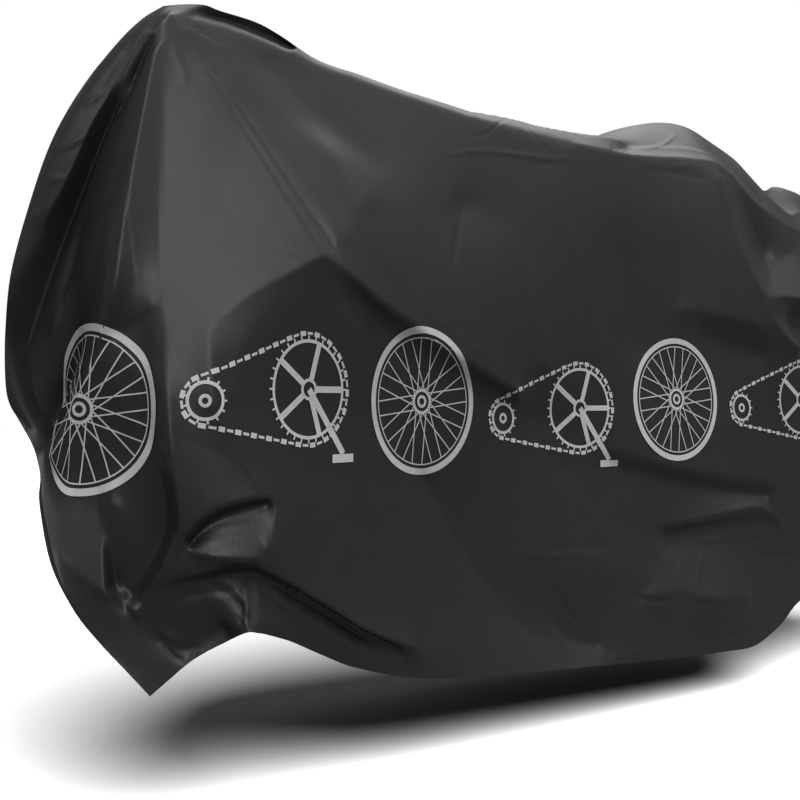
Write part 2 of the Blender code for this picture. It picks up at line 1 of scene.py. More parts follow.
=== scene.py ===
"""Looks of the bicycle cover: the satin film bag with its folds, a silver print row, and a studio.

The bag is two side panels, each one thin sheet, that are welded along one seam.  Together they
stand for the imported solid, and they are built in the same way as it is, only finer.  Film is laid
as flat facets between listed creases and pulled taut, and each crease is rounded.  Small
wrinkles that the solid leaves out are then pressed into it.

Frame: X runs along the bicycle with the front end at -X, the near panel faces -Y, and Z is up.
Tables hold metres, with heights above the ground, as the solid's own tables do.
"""

import logging
import math
from dataclasses import dataclass
from enum import Enum

import bpy
import numpy as np
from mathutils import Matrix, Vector
from mathutils.bvhtree import BVHTree
from mathutils.geometry import delaunay_2d_cdt


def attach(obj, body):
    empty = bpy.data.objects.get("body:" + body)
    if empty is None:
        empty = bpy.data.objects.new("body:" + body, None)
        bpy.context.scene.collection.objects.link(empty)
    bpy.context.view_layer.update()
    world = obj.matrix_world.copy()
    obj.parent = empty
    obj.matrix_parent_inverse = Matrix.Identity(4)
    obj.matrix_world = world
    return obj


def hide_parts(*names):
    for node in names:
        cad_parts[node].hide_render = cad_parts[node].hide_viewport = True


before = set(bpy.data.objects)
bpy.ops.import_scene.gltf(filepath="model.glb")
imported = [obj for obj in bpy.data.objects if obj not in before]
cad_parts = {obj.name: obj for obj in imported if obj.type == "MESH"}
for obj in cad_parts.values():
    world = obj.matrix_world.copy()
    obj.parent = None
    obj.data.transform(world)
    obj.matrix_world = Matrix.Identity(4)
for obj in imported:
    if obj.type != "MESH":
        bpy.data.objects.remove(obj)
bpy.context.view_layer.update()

Row = tuple[float, float, float]
Rows = tuple[Row, ...]
Place = tuple[float, float]

SADDLE_HEIGHT = 0.985           # ground to the point of the saddle that carries the cover
CURVE_STEPS = 12                # steps in which the curve between two points of a table is measured

# A panel is laid out on the plane of a three-quarter view, where all of it can be seen at once.
VIEW_TURN = math.radians(36.0)
TOP_STRIP_OUT = 0.03            # film less far out than this counts as lying behind the ridge
TOP_STRIP_RISE = 0.8            # height that the layout gains for each metre behind that

# Sockets of a colour Mix node: the share of the second colour, both colours, and the result.
MIX_SHARE, MIX_FIRST, MIX_SECOND, MIX_RESULT = 0, 6, 7, 2


class Roundness(Enum):
    """How round a crease is: the distance from its line over which the film bends, in metres."""

    CRISP = 0.0015
    FIRM = 0.004
    SOFT = 0.010


CRISP, FIRM, SOFT = Roundness   # the tables use these short names
Creases = dict[str, tuple[Roundness, Rows]]
Wrinkles = dict[str, tuple[float, float, float, Rows]]

# Every row is (x, out, z): place along the bicycle, distance from the middle plane towards the
# panel's own side, and height above the ground.

# The welded seam, in near-panel terms: a far-panel point has the same place and the opposite out.
FRONT_SEAM = (
    (-1.138, 0.188, 0.158),
    (-1.161, 0.178, 0.187),
    (-1.187, 0.163, 0.220),
    (-1.210, 0.146, 0.256),
    (-1.227, 0.126, 0.307),
    (-1.230, 0.090, 0.375),
    (-1.224, 0.064, 0.409),
    (-1.222, 0.046, 0.429),
    (-1.222, 0.028, 0.449),
    (-1.230, 0.004, 0.479),
    (-1.242, 0.000, 0.502),
    (-1.247, 0.000, 0.531),
    (-1.247, 0.000, 0.593),
    (-1.239, 0.000, 0.669),
    (-1.212, 0.000, 0.759),
    (-1.182, 0.000, 0.839),
    (-1.137, 0.000, 0.923),
    (-1.100, 0.000, 0.975),
    (-1.065, 0.000, 1.014),
)

TOP_SEAM = (
    (-1.034, 0.000, 1.039),
    (-1.017, 0.028, 1.037),
    (-0.991, 0.036, 1.039),
    (-0.968, 0.038, 1.035),
    (-0.914, 0.038, 1.030),
    (-0.876, 0.040, 1.018),
    (-0.816, 0.045, 0.992),
    (-0.744, 0.045, 0.983),
    (-0.672, 0.045, 0.973),
    (-0.592, 0.040, 0.967),
    (-0.499, 0.025, 0.963),
    (-0.396, 0.005, 0.961),
    (-0.300, -0.045, 0.950),
    (-0.200, -0.045, 0.975),
    (-0.100, -0.050, 1.010),
    (0.000, -0.050, 1.034),
    (0.080, -0.050, 1.036),
    (0.150, -0.045, 1.013),
    (0.220, -0.040, 0.984),
    (0.290, -0.035, 0.936),
    (0.335, -0.040, 0.947),
    (0.380, -0.040, 0.946),
    (0.430, -0.035, 0.934),
    (0.520, -0.015, 0.885),
    (0.600, 0.000, 0.810),
)

REAR_SEAM = (
    (0.670, 0.000, 0.715),
    (0.720, 0.000, 0.600),
    (0.745, 0.000, 0.480),
    (0.745, 0.000, 0.370),
    (0.720, 0.000, 0.270),
    (0.670, 0.000, 0.190),
    (0.640, 0.000, 0.160),
)

NEAR_HEM = (
    (-1.119, 0.190, 0.172),
    (-1.086, 0.198, 0.197),
    (-1.050, 0.212, 0.216),
    (-1.040, 0.242, 0.230),
    (-1.024, 0.242, 0.228),
    (-0.996, 0.226, 0.219),
    (-0.959, 0.214, 0.205),
    (-0.911, 0.204, 0.182),
    (-0.848, 0.199, 0.155),
    (-0.729, 0.194, 0.125),
    (-0.552, 0.184, 0.108),
    (-0.377, 0.178, 0.096),
    (-0.206, 0.172, 0.085),
    (-0.062, 0.166, 0.078),
    (0.007, 0.160, 0.076),
    (0.060, 0.152, 0.086),
    (0.119, 0.142, 0.105),
    (0.184, 0.132, 0.136),
    (0.320, 0.110, 0.160),
    (0.450, 0.085, 0.170),
    (0.560, 0.050, 0.165),
)

FAR_HEM = (
    (-1.045, 0.000, 0.125),
    (-0.980, 0.090, 0.150),
    (-0.890, 0.140, 0.165),
    (-0.780, 0.175, 0.168),
    (-0.660, 0.200, 0.135),
    (-0.520, 0.185, 0.110),
    (-0.340, 0.210, 0.095),
    (-0.180, 0.180, 0.090),
    (-0.020, 0.185, 0.080),
    (0.140, 0.150, 0.100),
    (0.300, 0.130, 0.135),
    (0.440, 0.090, 0.155),
    (0.560, 0.045, 0.160),
)

# Creases of the near panel, each with its roundness and a line of points: a ridge, a valley, or the
# foot of a facet.
NEAR_CREASES = {
    "ridge_behind_grips": (SOFT, (
        (-1.050, 0.040, 1.020), (-0.944, 0.050, 1.013), (-0.819, 0.055, 0.987),
        (-0.683, 0.060, 0.967), (-0.557, 0.060, 0.952), (-0.430, 0.060, 0.942),
        (-0.324, 0.060, 0.934))),
    "ridge_over_saddle": (CRISP, (
        (-0.324, 0.060, 0.934), (-0.193, 0.060, 0.932), (-0.038, 0.060, 0.942),
        (0.040, 0.055, 0.947), (0.094, 0.055, 0.924), (0.155, 0.060, 0.880), (0.272, 0.060, 0.841),
        (0.400, 0.055, 0.815), (0.520, 0.040, 0.750))),
    "front_valley": (FIRM, (
        (-1.109, 0.024, 0.885), (-1.122, 0.016, 0.851), (-1.144, 0.008, 0.788),
        (-1.169, 0.000, 0.718), (-1.196, -0.010, 0.634), (-1.215, -0.014, 0.567),
        (-1.224, -0.014, 0.511))),
    "fin_edge": (FIRM, (
        (-1.085, 0.043, 0.982), (-1.104, 0.039, 0.945), (-1.125, 0.036, 0.901),
        (-1.153, 0.036, 0.849), (-1.180, 0.033, 0.783), (-1.203, 0.022, 0.739))),
    "fin_streak": (SOFT, (
        (-1.200, 0.007, 0.704), (-1.214, 0.007, 0.690), (-1.230, 0.004, 0.672))),
    "front_faint_ridge": (FIRM, (
        (-1.079, 0.050, 0.965), (-1.101, 0.048, 0.911), (-1.121, 0.044, 0.857),
        (-1.141, 0.040, 0.803), (-1.155, 0.036, 0.752), (-1.171, 0.029, 0.671),
        (-1.193, 0.022, 0.601))),
    "front_fold_edge": (CRISP, (
        (-1.079, 0.069, 0.950), (-1.113, 0.103, 0.847), (-1.136, 0.125, 0.774),
        (-1.155, 0.143, 0.704), (-1.172, 0.155, 0.631), (-1.187, 0.124, 0.543),
        (-1.206, 0.096, 0.474), (-1.216, 0.080, 0.437))),
    "tuck_behind_fold_edge": (FIRM, (
        (-1.162, 0.044, 0.582), (-1.161, 0.014, 0.535), (-1.180, 0.000, 0.473),
        (-1.204, 0.014, 0.448))),
    "front_soft_edge": (FIRM, (
        (-1.062, 0.056, 0.995), (-1.074, 0.076, 0.916), (-1.086, 0.102, 0.820),
        (-1.099, 0.131, 0.728), (-1.113, 0.166, 0.626))),
    "notch_left": (FIRM, (
        (-1.123, 0.164, 0.618), (-1.138, 0.154, 0.600), (-1.160, 0.140, 0.590))),
    "trough_right_bank": (FIRM, (
        (-1.113, 0.166, 0.626), (-1.118, 0.184, 0.571), (-1.126, 0.205, 0.506),
        (-1.126, 0.220, 0.436), (-1.116, 0.218, 0.357), (-1.132, 0.198, 0.301),
        (-1.145, 0.178, 0.267))),
    "front_trough": (SOFT, (
        (-1.131, 0.162, 0.572), (-1.137, 0.165, 0.506), (-1.139, 0.165, 0.458))),
    "trough_left_bank": (CRISP, (
        (-1.175, 0.122, 0.418), (-1.178, 0.132, 0.375), (-1.181, 0.150, 0.329),
        (-1.183, 0.168, 0.281))),
    "left_facet_foot": (CRISP, (
        (-1.222, 0.118, 0.327), (-1.205, 0.142, 0.306), (-1.183, 0.168, 0.281))),
    "left_facet_top": (FIRM, (
        (-1.217, 0.119, 0.331), (-1.205, 0.115, 0.361), (-1.190, 0.113, 0.391),
        (-1.175, 0.122, 0.418))),
    "front_crinkle": (CRISP, (
        (-1.155, 0.160, 0.267), (-1.154, 0.178, 0.260), (-1.143, 0.176, 0.250))),
    "front_low_crease": (CRISP, (
        (-1.143, 0.176, 0.250), (-1.131, 0.178, 0.236), (-1.121, 0.178, 0.223))),
    "ridge_to_apex": (CRISP, (
        (-1.050, 0.052, 1.011), (-1.036, 0.058, 0.991), (-1.019, 0.065, 0.966),
        (-1.002, 0.081, 0.930), (-0.974, 0.105, 0.870), (-0.951, 0.130, 0.819),
        (-0.929, 0.156, 0.766), (-0.895, 0.190, 0.694))),
    "beside_ridge_trough": (CRISP, (
        (-1.005, 0.068, 0.955), (-0.990, 0.080, 0.926), (-0.959, 0.100, 0.871),
        (-0.935, 0.124, 0.818), (-0.912, 0.146, 0.772), (-0.875, 0.176, 0.706))),
    "beside_ridge_band": (SOFT, (
        (-0.980, 0.082, 0.924), (-0.944, 0.109, 0.857), (-0.904, 0.141, 0.791),
        (-0.864, 0.176, 0.722))),
    "soft_band": (SOFT, (
        (-0.951, 0.062, 0.976), (-0.902, 0.098, 0.887), (-0.847, 0.124, 0.844),
        (-0.805, 0.148, 0.779))),
    "upper_wall_trough": (SOFT, (
        (-0.906, 0.060, 0.968), (-0.839, 0.086, 0.896), (-0.755, 0.107, 0.838))),
    "apex_left_edge": (CRISP, (
        (-0.895, 0.190, 0.694), (-0.958, 0.193, 0.663), (-1.011, 0.194, 0.635),
        (-1.065, 0.195, 0.593))),
    "column_right_edge": (FIRM, (
        (-1.065, 0.195, 0.593), (-1.069, 0.208, 0.554), (-1.071, 0.218, 0.513),
        (-1.060, 0.220, 0.476), (-1.042, 0.221, 0.450), (-1.017, 0.223, 0.419),
        (-0.998, 0.225, 0.389))),
    "under_apex_left_edge": (SOFT, (
        (-0.916, 0.190, 0.654), (-0.967, 0.197, 0.624), (-1.013, 0.203, 0.589),
        (-1.035, 0.207, 0.552), (-1.035, 0.213, 0.506))),
    "apex_right_edge": (CRISP, (
        (-0.895, 0.190, 0.694), (-0.852, 0.186, 0.668), (-0.805, 0.180, 0.641),
        (-0.742, 0.170, 0.612), (-0.644, 0.156, 0.569), (-0.523, 0.142, 0.520))),
    "under_apex_right_edge": (SOFT, (
        (-0.845, 0.166, 0.650), (-0.792, 0.153, 0.619), (-0.733, 0.141, 0.587),
        (-0.631, 0.126, 0.541), (-0.509, 0.113, 0.497), (-0.404, 0.108, 0.468))),
    "apex_down_ridge": (SOFT, (
        (-0.895, 0.190, 0.694), (-0.879, 0.184, 0.663), (-0.861, 0.180, 0.634),
        (-0.831, 0.174, 0.599))),
    "pocket_lip": (CRISP, (
        (-1.108, 0.216, 0.339), (-1.099, 0.226, 0.360), (-1.072, 0.232, 0.378),
        (-1.034, 0.234, 0.387), (-0.998, 0.225, 0.389))),
    "pocket_tuck": (CRISP, (
        (-1.093, 0.204, 0.339), (-1.078, 0.208, 0.354), (-1.054, 0.212, 0.367),
        (-1.022, 0.214, 0.375), (-0.997, 0.214, 0.379))),
    "pocket_right_edge": (FIRM, (
        (-0.991, 0.226, 0.377), (-0.995, 0.232, 0.348), (-1.004, 0.238, 0.328))),
    "pocket_stripe": (FIRM, (
        (-1.103, 0.214, 0.331), (-1.089, 0.232, 0.325), (-1.064, 0.242, 0.319),
        (-1.028, 0.246, 0.317))),
    "low_pleat_lip": (CRISP, (
        (-1.131, 0.192, 0.285), (-1.115, 0.206, 0.297), (-1.084, 0.220, 0.303),
        (-1.052, 0.232, 0.309), (-1.025, 0.236, 0.307), (-0.995, 0.234, 0.294),
        (-0.909, 0.221, 0.245), (-0.847, 0.213, 0.208), (-0.766, 0.202, 0.174))),
    "low_pleat_tuck": (CRISP, (
        (-1.106, 0.196, 0.287), (-1.075, 0.204, 0.292), (-1.045, 0.214, 0.298),
        (-1.016, 0.218, 0.298), (-0.987, 0.214, 0.282), (-0.899, 0.198, 0.232),
        (-0.837, 0.190, 0.195), (-0.777, 0.190, 0.167))),
    "hem_ridge_left": (CRISP, (
        (-1.022, 0.214, 0.287), (-1.033, 0.228, 0.260), (-1.041, 0.239, 0.240))),
    "hem_ridge_right": (CRISP, (
        (-1.015, 0.214, 0.286), (-1.019, 0.228, 0.259), (-1.024, 0.239, 0.238))),
    "hem_tuck": (FIRM, (
        (-1.112, 0.188, 0.221), (-1.092, 0.186, 0.207), (-1.071, 0.194, 0.221),
        (-1.049, 0.204, 0.229))),
    "pleat_end_edge": (CRISP, (
        (-0.701, 0.157, 0.271), (-0.713, 0.168, 0.228), (-0.732, 0.186, 0.175))),
    "low_wedge_edge": (FIRM, (
        (-0.690, 0.124, 0.398), (-0.649, 0.130, 0.327), (-0.592, 0.141, 0.244),
        (-0.524, 0.157, 0.168), (-0.467, 0.166, 0.136))),
    "hem_bump": (FIRM, (
        (-0.468, 0.152, 0.181), (-0.437, 0.156, 0.145), (-0.382, 0.162, 0.125))),
    "wall_fold": (FIRM, (
        (-0.466, 0.092, 0.798), (-0.455, 0.104, 0.731), (-0.439, 0.114, 0.664),
        (-0.450, 0.128, 0.562))),
    "wall_patch_top": (SOFT, (
        (-0.594, 0.096, 0.797), (-0.538, 0.095, 0.791), (-0.484, 0.094, 0.786))),
    "wall_shade_edge": (FIRM, (
        (-0.379, 0.082, 0.835), (-0.355, 0.096, 0.735), (-0.327, 0.107, 0.625),
        (-0.304, 0.111, 0.567))),
    "wall_hollow": (SOFT, (
        (-0.258, 0.080, 0.819), (-0.230, 0.090, 0.694), (-0.209, 0.098, 0.593))),
    "wall_swell": (SOFT, (
        (-0.113, 0.084, 0.832), (-0.099, 0.096, 0.753), (-0.113, 0.106, 0.682))),
    "saddle_ridge": (CRISP, (
        (0.026, 0.075, 0.915), (0.037, 0.089, 0.848), (0.061, 0.108, 0.768), (0.089, 0.121, 0.706),
        (0.127, 0.134, 0.639), (0.171, 0.141, 0.605))),
    "valley_behind_saddle_ridge": (SOFT, (
        (0.094, 0.062, 0.889), (0.140, 0.060, 0.826), (0.173, 0.060, 0.776))),
    "rear_facet_top": (FIRM, (
        (0.140, 0.098, 0.732), (0.210, 0.080, 0.774), (0.276, 0.066, 0.814))),
    "rear_facet_foot": (FIRM, (
        (0.117, 0.124, 0.700), (0.187, 0.130, 0.697), (0.289, 0.128, 0.699))),
    "rear_facet_tuck": (FIRM, (
        (0.197, 0.096, 0.664), (0.268, 0.090, 0.654), (0.368, 0.088, 0.648))),
    "drag_fold_from_saddle": (FIRM, (
        (-0.109, 0.112, 0.664), (-0.046, 0.116, 0.658), (0.013, 0.121, 0.653),
        (0.077, 0.128, 0.643))),
    "under_drag_fold": (SOFT, (
        (-0.056, 0.098, 0.629), (0.017, 0.100, 0.611), (0.088, 0.107, 0.597))),
    "shadow_fold_lip": (FIRM, (
        (-0.350, 0.116, 0.436), (-0.301, 0.122, 0.425), (-0.243, 0.129, 0.412),
        (-0.102, 0.136, 0.383), (0.084, 0.136, 0.361))),
    "shadow_fold_tuck": (FIRM, (
        (-0.295, 0.112, 0.403), (-0.216, 0.115, 0.386), (-0.081, 0.119, 0.358),
        (0.092, 0.121, 0.338))),
    "low_wrinkle_lip": (CRISP, (
        (-0.203, 0.128, 0.294), (-0.130, 0.136, 0.301), (-0.024, 0.140, 0.311),
        (0.056, 0.140, 0.316), (0.116, 0.134, 0.292))),
    "low_wrinkle_tuck": (CRISP, (
        (-0.176, 0.121, 0.282), (-0.106, 0.122, 0.285), (-0.002, 0.124, 0.291),
        (0.064, 0.127, 0.296), (0.113, 0.127, 0.279))),
    "rear_low_wrinkle": (FIRM, (
        (-0.277, 0.152, 0.197), (-0.231, 0.162, 0.193), (-0.173, 0.158, 0.192))),
    "trough_left_foot": (FIRM, (
        (-1.169, 0.152, 0.382), (-1.169, 0.146, 0.328), (-1.162, 0.140, 0.282))),
    "wall_below_edge": (SOFT, (
        (-0.733, 0.141, 0.543), (-0.628, 0.129, 0.490), (-0.510, 0.121, 0.440),
        (-0.397, 0.115, 0.403))),
    "low_pleat_under": (CRISP, (
        (-0.977, 0.218, 0.259), (-0.914, 0.210, 0.217), (-0.860, 0.203, 0.184))),
    "low_facet_line": (SOFT, (
        (-0.179, 0.124, 0.267), (-0.090, 0.126, 0.268), (0.020, 0.129, 0.270))),
    "lower_swell": (SOFT, (
        (-0.534, 0.141, 0.279), (-0.437, 0.148, 0.256), (-0.324, 0.153, 0.234))),
    "trough_right_foot": (FIRM, (
        (-1.120, 0.184, 0.411), (-1.113, 0.180, 0.356), (-1.131, 0.164, 0.303),
        (-1.146, 0.152, 0.273))),
    "strip_hollow": (CRISP, (
        (-0.982, 0.030, 1.029), (-0.946, 0.030, 1.025), (-0.915, 0.030, 1.019),
        (-0.883, 0.030, 1.013), (-0.852, 0.032, 1.004))),
    "saddle_slope": (SOFT, (
        (-0.171, 0.030, 0.947), (-0.099, 0.030, 0.958), (-0.000, 0.030, 0.968),
        (0.070, 0.030, 0.960), (0.131, 0.030, 0.932), (0.200, 0.030, 0.897))),
    "rear_low_wrinkle_2": (FIRM, (
        (-0.148, 0.162, 0.182), (-0.086, 0.166, 0.170), (-0.001, 0.158, 0.167))),
    "rear_wall_ridge": (SOFT, (
        (0.420, 0.100, 0.700), (0.450, 0.115, 0.500), (0.430, 0.110, 0.300))),
    "rear_wall_hollow": (SOFT, (
        (0.560, 0.035, 0.640), (0.580, 0.045, 0.450), (0.560, 0.050, 0.300))),
}

# Creases of the far panel: plain drapes that fall from the grips and the saddle.
FAR_CREASES = {
    "far_shoulder": (SOFT, (
        (-0.980, 0.090, 0.990), (-0.830, 0.085, 0.960), (-0.600, 0.080, 0.925),
        (-0.350, 0.080, 0.905), (-0.100, 0.085, 0.950), (0.050, 0.090, 0.975),
        (0.200, 0.085, 0.925), (0.380, 0.080, 0.880), (0.520, 0.050, 0.800))),
    "far_front_ridge": (SOFT, (
        (-1.030, 0.070, 0.940), (-1.080, 0.120, 0.700), (-1.090, 0.120, 0.450),
        (-1.050, 0.095, 0.250))),
    "far_front_valley": (SOFT, (
        (-0.980, 0.090, 0.900), (-0.985, 0.115, 0.650), (-0.985, 0.110, 0.400))),
    "far_grip_ridge": (SOFT, (
        (-0.895, 0.105, 0.910), (-0.835, 0.168, 0.600), (-0.745, 0.185, 0.250))),
    "far_valley_1": (SOFT, (
        (-0.800, 0.095, 0.870), (-0.710, 0.128, 0.600), (-0.640, 0.162, 0.280))),
    "far_ridge_2": (SOFT, (
        (-0.700, 0.098, 0.870), (-0.590, 0.142, 0.580), (-0.530, 0.182, 0.220))),
    "far_valley_2": (SOFT, (
        (-0.500, 0.090, 0.850), (-0.460, 0.125, 0.550), (-0.430, 0.165, 0.280))),
    "far_ridge_3": (SOFT, (
        (-0.290, 0.094, 0.850), (-0.335, 0.145, 0.550), (-0.370, 0.195, 0.200))),
    "far_valley_3": (SOFT, (
        (-0.130, 0.095, 0.890), (-0.205, 0.124, 0.550), (-0.250, 0.160, 0.280))),
    "far_saddle_ridge": (SOFT, (
        (0.030, 0.105, 0.930), (-0.050, 0.150, 0.600), (-0.130, 0.178, 0.220))),
    "far_valley_4": (SOFT, (
        (0.110, 0.090, 0.890), (0.090, 0.114, 0.550), (0.030, 0.148, 0.280))),
    "far_ridge_5": (SOFT, (
        (0.250, 0.094, 0.850), (0.265, 0.130, 0.520), (0.220, 0.145, 0.240))),
}

